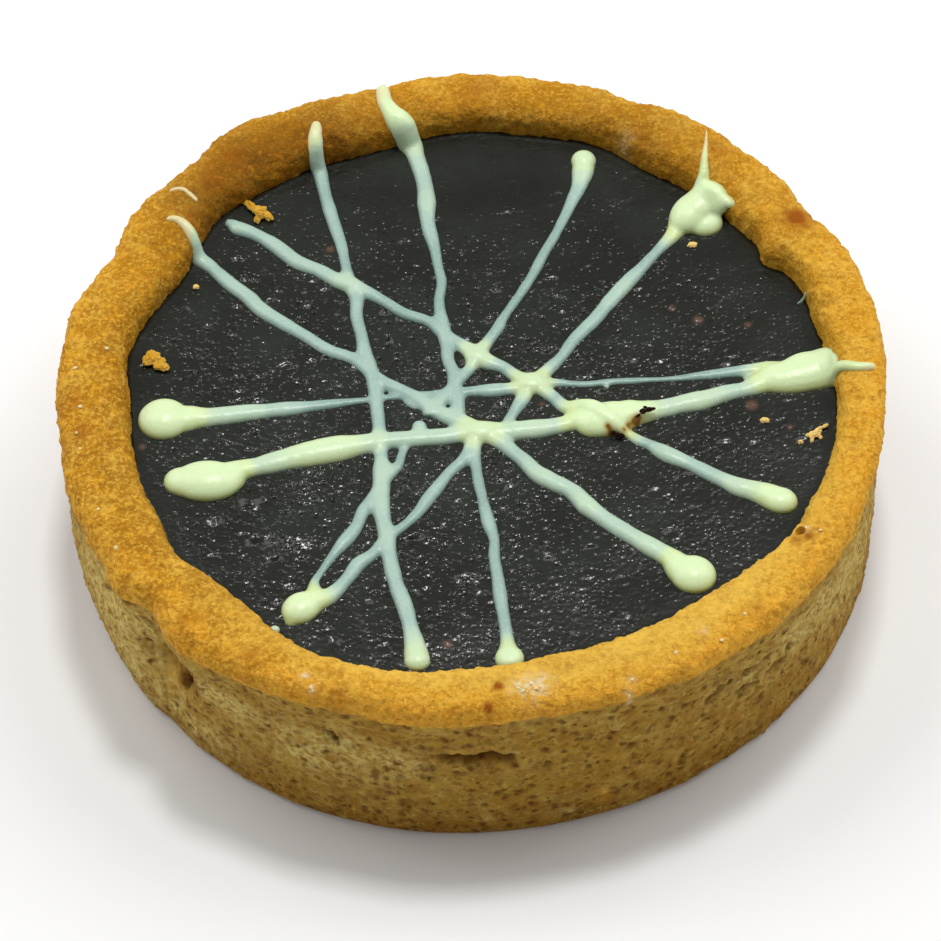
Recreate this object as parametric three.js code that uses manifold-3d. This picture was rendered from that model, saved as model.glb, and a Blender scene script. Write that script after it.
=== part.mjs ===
// Chocolate tart: a thick shortcrust case baked in a straight ring, filled almost level with dark
// ganache and drizzled with white chocolate from side to side.
// Millimetres, +Z up. The origin is the middle of the flat underside, and -Y is the front.

import * as THREE from 'three';
import { mergeVertices } from 'three/addons/utils/BufferGeometryUtils.js';
import Module from 'manifold-3d';

const wasm = await Module();
wasm.setup();

// ---------------------------------------------------------------- driving dimensions

const WALL_RADIUS = 39.5;        // top of the straight outer wall, as an 80 mm ring leaves it
const FOOT_RADIUS = 39.1;        // the wall's foot, drawn in a little by baking
const RIM_RADIUS = 40.05;        // the baked rim swells past the wall
const WELL_RADIUS = 33.5;        // inside of the wall, at the level of the filling
const FLOOR_RADIUS = 32.4;       // inside of the wall, where it meets the floor
const RIM_HEIGHT = 21.1;         // top of the rim
const FILL_HEIGHT = 18.1;        // level of the ganache
const FLOOR_HEIGHT = 4.5;        // thickness of the pastry floor
const WALL_TOP = 16.2;           // where the straight wall starts to swell into the rim
const FOOT_ROUNDING = 0.7;       // rounded lower edge
const RIM_SQUARENESS = 3;        // exponent of the rim's section: 2 is an ellipse, more is boxier
const GAP = 0.3;                 // clearance between case and ganache
const SINK = 0.35;               // how far drizzle and crumbs reach into what they lie on
const STRAND_RISE = 0.35;        // height of a strand, as a share of its width ...
const STRAND_BODY = 0.25;        // ... and what even the thinnest strand has besides

const SEGMENTS = 144;            // steps round the tart
const WALL_STEPS = 10;            // steps up the outer wall
const RIM_STEPS = 10;            // steps over the rim
const STRAND_SIDES = 6;          // sides of a strand's section
const STRAND_STEP = 2.2;       // length of one step along a strand
const DOME_SIDES = 10;            // sides of a drop

const DEGREE = Math.PI / 180;

// Uneven places: [middle in degrees, half width in degrees, amount in mm].
const OUTER_BULGES = [
  [122, 8, 1.1], [90, 9, 0.35], [143, 5, 0.4], [153, 4, -0.7], [163, 4, 0.35], [99, 4, -0.4],
  [64, 3, -0.45], [55, 8, 0.15], [30, 5, -0.7], [8, 12, -0.3], [214, 4, 0.7], [219, 3, -0.8],
  [228, 6, 0.8], [252, 6, -0.5], [278, 20, -0.85], [312, 6, 0.15], [330, 8, 0.2],
  [350, 11, -0.85],
];
const INNER_BULGES = [
  [345, 26, 1.9], [248, 14, 1.2], [214, 6, 0.6], [187, 8, -0.5], [229, 5, -0.4], [151, 8, -0.8],
  [170, 7, 0.4], [283, 13, -0.35], [305, 9, -0.3], [34, 5, -0.3], [26.5, 2.6, -1.1],
  [17, 8, 0.8], [68, 8, 0.6], [88, 8, 0.4], [104, 8, -0.4], [53, 6, -0.3], [136, 6, 0.6],
];
const CREST_WAVES = [[2, 0.25, 40], [3, 0.2, 115], [7, 0.14, 10], [13, 0.1, 75], [23, 0.07, 20]];

// Damage and dents in the outer wall: middle [degrees, height], half size [degrees, mm], depth.
const WALL_DENTS = [
  { at: [223, 13.6], half: [5.5, 3.4], depth: 1.3 },    // torn hollow under the rim
  { at: [227.5, 15.8], half: [2.6, 1.9], depth: 0.9 },  // its deepest pocket
  { at: [210, 16.6], half: [8, 1.3], depth: 0.5 },      // crack that runs on along the rim
  { at: [249, 15.2], half: [2.6, 1.5], depth: 0.6 },
  { at: [268.5, 14.4], half: [3.6, 1.1], depth: 0.6 },  // shut slit in the front
  { at: [318, 12.5], half: [4, 1.8], depth: 0.35 },
  { at: [338, 8], half: [14, 8], depth: 0.3 },
  { at: [198, 9], half: [13, 7], depth: -0.8 },         // the wall leans out at the left
  { at: [213, 7], half: [8, 4], depth: -0.3 },
  { at: [30, 10], half: [6, 3], depth: 0.4 },
  { at: [95, 7], half: [8, 2.5], depth: 0.4 },
  { at: [150, 12], half: [5, 2.5], depth: 0.45 },
];
// Fine unevenness of the wall, as waves: [turns round the tart, slant for each mm up, amount].
const WALL_RIPPLES = [[17, 0.9, 0.09], [29, -0.7, 0.11], [43, 1.6, 0.06], [11, -0.4, 0.1]];

const BULGE_AT_FOOT = 0.25;      // share of the rim's bulges that is left at the foot ...
const BULGE_GROWS = [4, 17];     // ... and the heights between which it grows to the whole
const EDGE_OF_RIM = 0.98;        // drizzle stays this share of the half width from the rim's middle
const CRUMB_CORNERS = [1.1, 1.1, 0.7];

// ---------------------------------------------------------------- drizzle and crumbs

// Each strand is one pass of the spoon: points [x, y, width], lying on whatever is beneath.
const STRANDS = {
  leftToRight: [
    [-28, -1.6, 3.2], [-23, -1.4, 2.2], [-15, -0.7, 1.1], [-7, -0.2, 0.9], [0, 0.2, 1.3],
    [5.8, 0.7, 1.8], [16, 0.7, 0.9], [24, 1.1, 1.4], [31, 1.1, 2.2], [35.7, -0.8, 0.9],
    [38.4, -1.3, 0.8],
  ],
  leftToRightLow: [
    [-23, -8.4, 2], [-16.5, -6.6, 3.1], [-10, -5.8, 2.6], [-3, -5.2, 1.8], [5, -4.8, 2.4],
    [12, -3.7, 3.6], [18, -3, 2.3], [24, -1.4, 1.9], [30, 0, 2.4],
  ],
  backLeftToFrontRight: [
    [-29, 21.6, 1], [-26.6, 18.8, 1.8], [-18.3, 10.1, 1.7], [-8, 1.4, 1.6], [-2.2, -3, 1.7],
    [5, -8.7, 2], [11.6, -16, 2.1], [18.4, -21.6, 2.3],
  ],
  backLeftToRight: [
    [-23.7, 23.1, 1.4], [-17.5, 18.2, 1.8], [-11.3, 14.1, 1.9], [-2.3, 7.3, 1.4],
    [5.8, 0.7, 1.6], [13.3, -3.6, 1.7], [19.9, -9.6, 1.8], [27.8, -14.4, 2.2],
  ],
  backLeftToFront: [
    [-14.7, 33, 1.2], [-14.4, 29.6, 1.6], [-13.2, 24.7, 1.5], [-11.3, 13.8, 1.5], [-9.3, 0, 1.5],
    [-8.9, -12, 1.8], [-6.3, -28.8, 1.8],
  ],
  backToMiddle: [
    [-7.7, 37, 1], [-6.9, 34.4, 1.4], [-5.2, 32.2, 2.8], [-3.8, 27.6, 1.8], [-3.1, 18, 1.3],
    [-2.4, 8, 1.5], [-1.4, -3.4, 1.3],
  ],
  backRightToMiddle: [
    [12.2, 28.4, 2.1], [9.8, 22, 1.2], [3.6, 9.6, 1.2], [0.6, 4.5, 1.8], [-3.9, -2.7, 1.5],
  ],
  rightToMiddle: [
    [24.6, 30, 0.6], [23.9, 25.4, 1.4], [21, 19, 1.8], [15.6, 12.9, 2], [8.8, 4.4, 1.6],
    [3.9, -2.8, 1.2],
  ],
  middleToFrontLeft: [
    [0, -6, 1.7], [-5.8, -14.4, 1.3], [-10, -18.9, 1.3], [-14.6, -23.2, 1.7],
  ],
  nearLeftToFrontLeft: [
    [-5.3, -4.3, 1.2], [-8.4, -9.9, 1.2], [-12.6, -17.4, 1.5], [-15.6, -22.4, 1.5],
  ],
  middleToFront: [[-0.1, -6, 1.7], [0.7, -13.5, 1.3], [1.8, -24.4, 1.2], [2.4, -30, 1.5]],
};

// Drops where a pass starts, ends or crosses: middle [x, y], half sizes [along, across], height,
// and the turn of the long side in degrees.
const DROPS = [
  { at: [-29.8, -1.7], half: [2.6, 2.6], height: 1.8, turn: 0 },
  { at: [-25.7, -9.3], half: [4, 2.6], height: 1.9, turn: 4 },
  { at: [31.4, 0.9], half: [3.6, 2.4], height: 1.8, turn: 18 },
  { at: [12.6, -3.7], half: [3.3, 2.5], height: 1.6, turn: 15 },
  { at: [19.7, -22.8], half: [2.3, 2.2], height: 1.6, turn: 0 },
  { at: [28.8, -14.6], half: [1.6, 1.5], height: 1.3, turn: 0 },
  { at: [-6.1, -30.5], half: [1.4, 1.25], height: 1, turn: 90 },
  { at: [2.4, -30.8], half: [1.3, 1.2], height: 1, turn: 90 },
  { at: [12.4, 29.5], half: [1.4, 1.3], height: 1.1, turn: 0 },
  { at: [22.6, 21.9], half: [3.3, 1.9], height: 1.7, turn: 50 },
  { at: [23.6, 20.1], half: [1.8, 1.7], height: 1.4, turn: 0 },
  { at: [25, 21.9], half: [1.9, 1.3], height: 1.9, turn: 0 },
  { at: [-16.6, -23.9], half: [2.4, 1.7], height: 1.4, turn: 55 },
  { at: [0.7, 4.5], half: [1.4, 1.2], height: 0.9, turn: 0 },
  { at: [5.8, 0.7], half: [1.8, 1.4], height: 1, turn: 0 },
  { at: [0.7, -4.7], half: [2.2, 1.7], height: 1.1, turn: 0 },
];

// Crumbs of pastry: middle [x, y], half sizes [long, wide, high] and turn in degrees.
const CRUMBS = [
  { at: [-20.8, 24.5], half: [2, 0.8, 0.7], turn: -50 },
  { at: [-30.6, 5.6], half: [1.3, 0.9, 0.8], turn: -35 },
  { at: [32.6, -6.9], half: [1.1, 0.7, 0.5], turn: 20 },
  { at: [16.6, -3.1], half: [0.9, 0.6, 1.6], turn: 10 },
  { at: [13.5, -5.3], half: [0.6, 0.5, 0.9], turn: 0 },
  { at: [32.3, 19.2], half: [1.5, 1.1, 0.8], turn: 30 },
];

// ---------------------------------------------------------------- shape of the case

// Sum of smooth swellings round the tart, for an angle in degrees.
function bulge(places, angle) {
  let sum = 0;
  for (const [middle, half, amount] of places) {
    const away = ((angle - middle + 540) % 360) - 180;
    sum += amount * Math.exp(-((away / half) ** 2));
  }
  return sum;
}

// How far the top of the rim rises or dips there.
function crestWave(angle) {
  let sum = 0;
  for (const [turns, amount, phase] of CREST_WAVES) {
    sum += amount * Math.sin((turns * angle + phase) * DEGREE);
  }
  return sum;
}

// How much of a bulge of the rim is left lower down the wall.
function bulgeShare(z) {
  return THREE.MathUtils.lerp(BULGE_AT_FOOT, 1, THREE.MathUtils.smoothstep(z, ...BULGE_GROWS));
}

const wellRadius = (angle) => WELL_RADIUS + bulge(INNER_BULGES, angle);
const rimRadius = (angle) => RIM_RADIUS + bulge(OUTER_BULGES, angle);

// Inward depth of the dents and ripples at one place of the outer wall.
function wallRelief(angle, z) {
  let sum = 0;
  for (const [turns, slant, amount] of WALL_RIPPLES) {
    sum += amount * Math.sin(turns * angle * DEGREE + slant * z);
  }
  for (const { at, half, depth } of WALL_DENTS) {
    const up = (z - at[1]) / half[1];
    sum += bulge([[at[0], half[0], depth]], angle) * Math.exp(-(up ** 2));
  }
  return sum;
}

// Half of the case's section, from the middle of the underside round to the middle of the floor.
function caseProfile() {
  const points = [new THREE.Vector2(0, 0)];
  for (const turn of [0, 45, 90]) {
    points.push(new THREE.Vector2(
      FOOT_RADIUS - FOOT_ROUNDING * (1 - Math.sin(turn * DEGREE)),
      FOOT_ROUNDING * (1 - Math.cos(turn * DEGREE)),
    ));
  }
  for (let i = 1; i <= WALL_STEPS; i++) {
    const share = i / WALL_STEPS;
    points.push(new THREE.Vector2(
      THREE.MathUtils.lerp(FOOT_RADIUS, WALL_RADIUS, share),
      THREE.MathUtils.lerp(FOOT_ROUNDING, WALL_TOP, share),
    ));
  }
  const middle = (RIM_RADIUS + WELL_RADIUS) / 2;
  const halfWidth = (RIM_RADIUS - WELL_RADIUS) / 2;
  for (let i = 0; i <= RIM_STEPS; i++) {
    const turn = 90 - (180 * i) / RIM_STEPS;
    const across = Math.sin(turn * DEGREE);
    const up = Math.max(Math.cos(turn * DEGREE), 0);
    points.push(new THREE.Vector2(
      middle + halfWidth * Math.sign(across) * Math.abs(across) ** (2 / RIM_SQUARENESS),
      FILL_HEIGHT + (RIM_HEIGHT - FILL_HEIGHT) * up ** (2 / RIM_SQUARENESS),
    ));
  }
  points.push(new THREE.Vector2(FLOOR_RADIUS, FLOOR_HEIGHT), new THREE.Vector2(0, FLOOR_HEIGHT));
  return points;
}

// Move one point of the round case to its place in the uneven one.
function bakeCase(point) {
  const r = Math.hypot(point.x, point.y);
  if (r < 1) return;
  const angle = Math.atan2(point.y, point.x) / DEGREE;
  const outward = THREE.MathUtils.clamp((r - WELL_RADIUS) / (RIM_RADIUS - WELL_RADIUS), 0, 1);
  const onWall = r > FOOT_RADIUS - FOOT_ROUNDING && point.z < RIM_HEIGHT - 1;
  const inner = bulge(INNER_BULGES, angle);
  const outer = bulge(OUTER_BULGES, angle) * bulgeShare(point.z);
  const relief = onWall ? wallRelief(angle, point.z) * Math.min(point.z / 2, 1) : 0;
  const rimShare = Math.max(point.z - FILL_HEIGHT, 0) / (RIM_HEIGHT - FILL_HEIGHT);
  const moved = r + THREE.MathUtils.lerp(inner, outer, outward) - relief;
  point.x *= moved / r;
  point.y *= moved / r;
  point.z += crestWave(angle) * rimShare;
}

// ---------------------------------------------------------------- shape of the ganache

// Half of the ganache's section.
function fillProfile() {
  return [
    new THREE.Vector2(0, FLOOR_HEIGHT),
    new THREE.Vector2(FLOOR_RADIUS, FLOOR_HEIGHT),
    new THREE.Vector2(WELL_RADIUS, FILL_HEIGHT),
    new THREE.Vector2(0, FILL_HEIGHT),
  ];
}

// Move one point of the round ganache to its place in the uneven well.
function pourFilling(point) {
  const r = Math.hypot(point.x, point.y);
  if (r < 1) return;
  const angle = Math.atan2(point.y, point.x) / DEGREE;
  const moved = r + bulge(INNER_BULGES, angle) - GAP;
  point.x *= moved / r;
  point.y *= moved / r;
}

// Height of what carries the drizzle: the ganache inside the well, the rounded rim outside it.
function topHeight(x, y) {
  const angle = Math.atan2(y, x) / DEGREE;
  const inner = wellRadius(angle);
  const outer = rimRadius(angle);
  const across = (2 * (Math.hypot(x, y) - inner)) / (outer - inner) - 1;
  if (across <= -1) return FILL_HEIGHT;
  const aside = Math.min(Math.abs(across), EDGE_OF_RIM);
  const up = (1 - aside ** RIM_SQUARENESS) ** (1 / RIM_SQUARENESS);
  return FILL_HEIGHT + (RIM_HEIGHT + crestWave(angle) - FILL_HEIGHT) * up;
}

// Direction that stands square on the top there.
function topNormal(x, y) {
  const slopeX = (topHeight(x + GAP, y) - topHeight(x - GAP, y)) / (2 * GAP);
  const slopeY = (topHeight(x, y + GAP) - topHeight(x, y - GAP)) / (2 * GAP);
  return new THREE.Vector3(-slopeX, -slopeY, 1).normalize();
}

// ---------------------------------------------------------------- solids

// A closed geometry with its shared points merged, so that only its positions are left.
function weld(geometry) {
  geometry.deleteAttribute('normal');
  geometry.deleteAttribute('uv');
  return mergeVertices(geometry, 1e-4);
}

function movePoints(geometry, move) {
  const position = geometry.attributes.position;
  const point = new THREE.Vector3();
  for (let i = 0; i < position.count; i++) {
    move(point.fromBufferAttribute(position, i));
    position.setXYZ(i, point.x, point.y, point.z);
  }
  return geometry;
}

function toSolid(geometry) {
  return new wasm.Manifold(new wasm.Mesh({
    numProp: 3,
    vertProperties: new Float32Array(geometry.attributes.position.array),
    triVerts: new Uint32Array(geometry.index.array),
  }));
}

function toGeometry(solid) {
  const { vertProperties, triVerts } = solid.getMesh();
  const geometry = new THREE.BufferGeometry();
  geometry.setAttribute('position', new THREE.BufferAttribute(new Float32Array(vertProperties), 3));
  geometry.setIndex(new THREE.BufferAttribute(new Uint32Array(triVerts), 1));
  return geometry;
}

// A turned body from a half section, with every point then moved by a function.
function turned(profile, move) {
  const geometry = new THREE.LatheGeometry(profile, SEGMENTS).rotateX(Math.PI / 2);
  return toSolid(movePoints(weld(geometry), move));
}

// A strand: a tube laid along a curve, round above and flat where it sinks into what carries it.
function strand(points) {
  const curve = new THREE.CatmullRomCurve3(points.map((point) => new THREE.Vector3(...point)));
  const steps = Math.ceil(curve.getLength() / STRAND_STEP);
  const tube = new THREE.CylinderGeometry(1, 1, 1, STRAND_SIDES, steps);
  return toSolid(movePoints(weld(tube), (point) => {
    const place = curve.getPointAt(point.y + 0.5);
    const tangent = curve.getTangentAt(point.y + 0.5);
    const width = place.z;
    const up = topNormal(place.x, place.y);
    const side = new THREE.Vector3(tangent.y, -tangent.x, 0).cross(up).cross(up).negate().normalize();
    const above = point.z * (point.z > 0 ? STRAND_BODY + width * STRAND_RISE : SINK);
    const across = (point.x * width) / 2;
    point.set(place.x, place.y, topHeight(place.x, place.y));
    point.addScaledVector(side, across).addScaledVector(up, above);
  }));
}

// A low dome with an oval foot.
function dome(at, half, height, turn, detail) {
  const ball = new THREE.SphereGeometry(1, detail, detail / 2).rotateX(Math.PI / 2);
  const base = topHeight(...at);
  return toSolid(movePoints(weld(ball), (point) => {
    point.x *= half[0];
    point.y *= half[1];
    point.z *= point.z > 0 ? height : SINK;
    point.applyAxisAngle(new THREE.Vector3(0, 0, 1), turn * DEGREE);
    point.add(new THREE.Vector3(at[0], at[1], base));
  }));
}

// A crumb: a few-sided lump with corners pulled in and out in turn.
function crumb({ at, half, turn }) {
  const lump = new THREE.IcosahedronGeometry(1, 0);
  const base = topHeight(...at);
  let corner = 0;
  return toSolid(movePoints(weld(lump), (point) => {
    point.multiplyScalar(CRUMB_CORNERS[corner % CRUMB_CORNERS.length]);
    corner += 1;
    point.multiply(new THREE.Vector3(...half));
    point.applyAxisAngle(new THREE.Vector3(0, 0, 1), turn * DEGREE);
    point.add(new THREE.Vector3(at[0], at[1], base + half[2] / 3));
  }));
}

// The space in and over the well, `clearance` short of its wall.
function overWell(clearance) {
  const below = FILL_HEIGHT - 2;
  const above = RIM_HEIGHT + 4;
  const profile = [[0, below], [WELL_RADIUS, below], [WELL_RADIUS, above], [0, above]];
  return turned(profile.map((point) => new THREE.Vector2(...point)), (point) => {
    const r = Math.hypot(point.x, point.y);
    if (r < 1) return;
    const moved = wellRadius(Math.atan2(point.y, point.x) / DEGREE) - clearance;
    point.x *= moved / r;
    point.y *= moved / r;
  });
}

// ---------------------------------------------------------------- the tart

const topping = [
  ...Object.values(STRANDS).map(strand),
  ...DROPS.map(({ at, half, height, turn }) => dome(at, half, height, turn, DOME_SIDES)),
  ...CRUMBS.map(crumb),
].reduce((all, solid) => all.add(solid));

const caseSolid = turned(caseProfile(), bakeCase).add(topping.subtract(overWell(0)));
const fillSolid = turned(fillProfile(), pourFilling).add(topping.intersect(overWell(GAP)));

function piece(name, solid, colour, roughness) {
  const material = new THREE.MeshStandardMaterial({ color: colour, roughness, metalness: 0 });
  const mesh = new THREE.Mesh(toGeometry(solid), material);
  mesh.name = name;
  return mesh;
}

const tart = new THREE.Group();
tart.add(piece('crust', caseSolid, 0xc98f3f, 0.85));
tart.add(piece('filling', fillSolid, 0x26211f, 0.45));

export default tart;
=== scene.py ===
"""Chocolate tart: a baked shortcrust case filled with dark ganache, drizzled from side to side
with white chocolate and dotted with crumbs. Millimetres in the lists, metres in the scene."""

import math
import random

import bpy
import numpy as np
from mathutils import Matrix, Vector, noise


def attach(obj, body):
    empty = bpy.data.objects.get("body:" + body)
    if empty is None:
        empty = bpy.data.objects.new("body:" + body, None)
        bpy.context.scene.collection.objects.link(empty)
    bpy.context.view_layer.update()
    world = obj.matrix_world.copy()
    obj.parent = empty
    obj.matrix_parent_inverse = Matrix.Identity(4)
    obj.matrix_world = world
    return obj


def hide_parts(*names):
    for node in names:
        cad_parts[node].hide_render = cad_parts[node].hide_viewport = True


bl_info = {
    "name": "Chocolate tart",
    "version": (1, 0, 0),
    "blender": (4, 5, 0),
    "location": "View3D > Sidebar > Tart",
    "description": "A shortcrust tart with dark ganache and a white chocolate drizzle",
    "category": "Add Mesh",
}

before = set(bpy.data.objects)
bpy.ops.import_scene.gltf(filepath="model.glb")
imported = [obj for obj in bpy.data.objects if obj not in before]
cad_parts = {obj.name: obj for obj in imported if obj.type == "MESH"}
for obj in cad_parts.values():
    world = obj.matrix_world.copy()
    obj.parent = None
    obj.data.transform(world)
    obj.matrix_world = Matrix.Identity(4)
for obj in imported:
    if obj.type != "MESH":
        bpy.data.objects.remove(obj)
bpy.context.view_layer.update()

MM = 0.001
DEGREE = math.pi / 180
BODY = "root"

# ---------------------------------------------------------------- the uneven case
# Swellings of the rim: middle and half width in degrees, amount in mm.
OUTER_BULGES = [
    (122, 8, 1.1), (90, 9, 0.35), (143, 5, 0.4), (153, 4, -0.7), (163, 4, 0.35), (99, 4, -0.4),
    (64, 3, -0.85), (55, 8, 0.15), (30, 5, -0.8), (8, 12, 0.05), (214, 4, 0.7), (219, 3, -0.8),
    (228, 6, 0.8), (252, 6, -0.5), (278, 20, -0.85), (312, 6, 0.15), (330, 8, 0.2),
    (350, 11, -0.35), (84, 7, -0.3), (107, 5, -0.4), (116, 4, -0.35), (127, 3, 0.35),
    (160, 3, -0.4), (187, 5, -0.35),
]
INNER_BULGES = [
    (345, 26, 1.9), (248, 14, 1.2), (214, 6, 0.6), (187, 8, -0.5), (229, 5, -0.4), (151, 8, -0.8),
    (170, 7, 0.4), (283, 13, -0.35), (305, 9, -0.3), (34, 5, -0.3), (26.5, 2.6, -1.1),
    (17, 8, 0.8), (68, 8, 0.6), (88, 8, 0.4), (104, 8, -0.4), (53, 6, -0.3), (136, 6, 0.6),
    (108, 8, -0.35), (151, 13, -0.45), (178, 6, -0.4), (206, 7, -0.35), (223, 6, -0.25),
    (288, 14, -0.45), (325, 6, 0.6), (13, 7, -0.4), (58, 4, -0.25),
]
# How square the rim's rounding is on its inner and outer side: 2 is an ellipse.
RIM_INSIDE, RIM_OUTSIDE = 3.0, 3.5
# Waves of the rim's crest: turns round the tart, amount in mm, phase in degrees.
CREST_WAVES = [(2, 0.25, 40), (3, 0.2, 115), (7, 0.14, 10), (13, 0.1, 75), (23, 0.07, 20)]
# Dents in the wall: middle (degrees, mm up), half size (degrees, mm), depth in mm.
WALL_DENTS = [
    ((221.5, 11.6), (4.2, 3.2), 1.0), ((225.4, 13.4), (1.6, 1.9), 0.9),
    ((210, 16.6), (8, 1.3), 0.15), ((249, 14.4), (2.4, 1.2), 0.25),
    ((268.5, 13.2), (4, 1.2), 0.25), ((318, 12.5), (4, 1.8), 0.3),
    ((338, 8), (14, 8), 0.3), ((198, 9), (13, 7), -0.8), ((213, 7), (8, 4), -0.3),
    ((30, 10), (6, 3), 0.4), ((95, 7), (8, 2.5), 0.4), ((150, 12), (5, 2.5), 0.45),
]
# Cracks: points (degrees, mm up), half width and depth in mm.
WALL_CRACKS = [
    ([(206.5, 13.2), (208.5, 14.4), (211, 16.6), (214, 17.9), (217, 18.6)], 0.25, 0.4),
    ([(226.6, 15.0), (225.4, 13.6), (224.6, 11.8), (223.7, 9.8)], 0.42, 1.4),
    ([(217.2, 16.2), (219, 14.6), (221.6, 14.2), (224, 14.6)], 0.3, 0.3),
    ([(263.7, 13.1), (265.2, 13.0), (267, 12.7), (269, 12.75), (270.3, 13.0), (271.7, 12.55),
      (273.2, 12.4)], 0.4, 0.8),
    ([(247.7, 14.4), (248.6, 14.0), (249.2, 13.4)], 0.28, 0.6),
    ([(301.8, 12.2), (303.6, 13.3), (305.6, 13.4)], 0.28, 0.5),
    ([(306.4, 13.0), (308.2, 13.5), (310.3, 13.2)], 0.25, 0.4),
    ([(307, 10.8), (308.6, 11.1), (309.8, 10.6)], 0.35, 0.5),
    ([(311.2, 13.6), (313.2, 13.0), (315.4, 12.9)], 0.28, 0.45),
    ([(313.6, 10.7), (315.4, 10.5), (317.2, 11.5)], 0.3, 0.45),
    ([(150, 12.5), (153, 12.9), (157, 12.2)], 0.35, 0.6),
    ([(38, 11.4), (43, 12.1), (47, 11.6)], 0.35, 0.6),
    ([(92, 7.6), (96, 7.9), (101, 7.1)], 0.4, 0.6),
]
# Pits of the wall: degrees, mm up, half width and depth in mm.
WALL_PITS = [
    (220.1, 11.5, 0.35, 0.6), (221.7, 11.3, 0.3, 0.6), (226.3, 11.6, 0.28, 0.5),
    (228.8, 13.4, 0.26, 0.45), (262, 9.7, 0.4, 0.35), (278, 10.9, 0.4, 0.35),
    (311.1, 7.4, 0.35, 0.5), (312, 13.3, 0.3, 0.5), (298, 5.2, 0.3, 0.45), (290, 10.4, 0.3, 0.4),
    (254.4, 9.6, 0.3, 0.4), (238.3, 11.2, 0.3, 0.35),
]
# Paler places of the wall, some of them scuffs and dusted places: middle (degrees, mm up), half
# size (degrees, mm).
PALE_PLACES = [
    ((231, 13.9), (3, 2.2)), ((234.5, 13.2), (3.4, 1.6)), ((248.8, 12.7), (3, 1.4)),
    ((220.5, 15.4), (3, 1.6)), ((273, 13.1), (2.8, 0.3)), ((269.3, 3.2), (1.1, 0.5)),
    ((281, 2.4), (1, 0.5)), ((203, 12), (6, 5)), ((258, 12), (4, 2)), ((320, 13), (14, 3)),
    ((211, 15), (6, 2.5)), ((338, 10), (12, 7)), ((246, 11), (9, 4)), ((206, 6), (8, 5)),
    ((214, 8), (6, 6)), ((226, 5), (7, 3)),
]
# Toasted places of the wall, as golden as the rim.
TOASTED_PLACES = [((220.4, 9.0), (2.3, 1.8)), ((222, 12), (1.2, 1.2)), ((286, 4.2), (0.9, 0.9))]
# Where the rim is browner: degrees, half width in degrees, amount of browning.
HOT_PLACES = [(127, 15, 0.8), (55, 20, 0.25), (100, 55, 0.25), (205, 30, 0.06)]
# Where the rim is mottled and where it is freshest, and its front, whose shoulder is painted
# lighter, in the same measures.
MOTTLED_PLACES = [(192, 38, 0.42)]
FRESH_PLACES = [(300, 48, 1)]
FRONT_PLACES = [(275, 60, 1)]
# Craggy place and broken hollow of the wall: middle (degrees, mm up), half size (degrees, mm).
CRAGGY_PLACES = [((309, 11), (15, 9))]
HOLLOW_PLACES = [((221.5, 12), (5, 3))]
# Browned spots of the rim: degrees, radius, size and strength.
BROWN_SPOTS = [
    (28.5, 37.2, 1.3, 1.3), (325.4, 37.1, 0.5, 1.0), (324, 36.3, 0.6, 0.6),
    (271.9, 36.5, 0.45, 1.6), (270.4, 38.6, 0.42, 1.8), (266, 38.6, 0.4, 0.5),
    (141, 34.9, 0.3, 0.7), (134, 36.6, 1.6, 0.3),
    (128, 37.5, 1.2, 0.45), (87, 37.5, 2.2, 0.4), (101, 36, 1.6, 0.4), (188, 37.6, 1.4, 0.45),
    (182, 38.4, 1.2, 0.4), (237, 38.6, 0.9, 0.4), (250, 38.8, 0.9, 0.4), (226, 39.3, 0.8, 0.4),
    (311, 38.4, 0.6, 0.45), (47, 38, 1.4, 0.3),
]

# Places of the rim dusted with flour and sugar: degrees, radius, size and strength.
DUSTED_SPOTS = [
    (276, 36.9, 1.1, 1.0), (278, 36.6, 1.0, 0.9), (274.3, 36.7, 0.6, 0.7), (244.8, 38.2, 0.5, 0.8),
    (246.5, 39, 0.4, 0.6), (60.8, 34.1, 0.7, 0.5), (326.2, 36.5, 0.5, 0.5),
    (289.4, 39.2, 0.4, 0.6), (290.4, 38.3, 0.4, 0.5), (303, 37, 0.5, 0.5),
]

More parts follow.
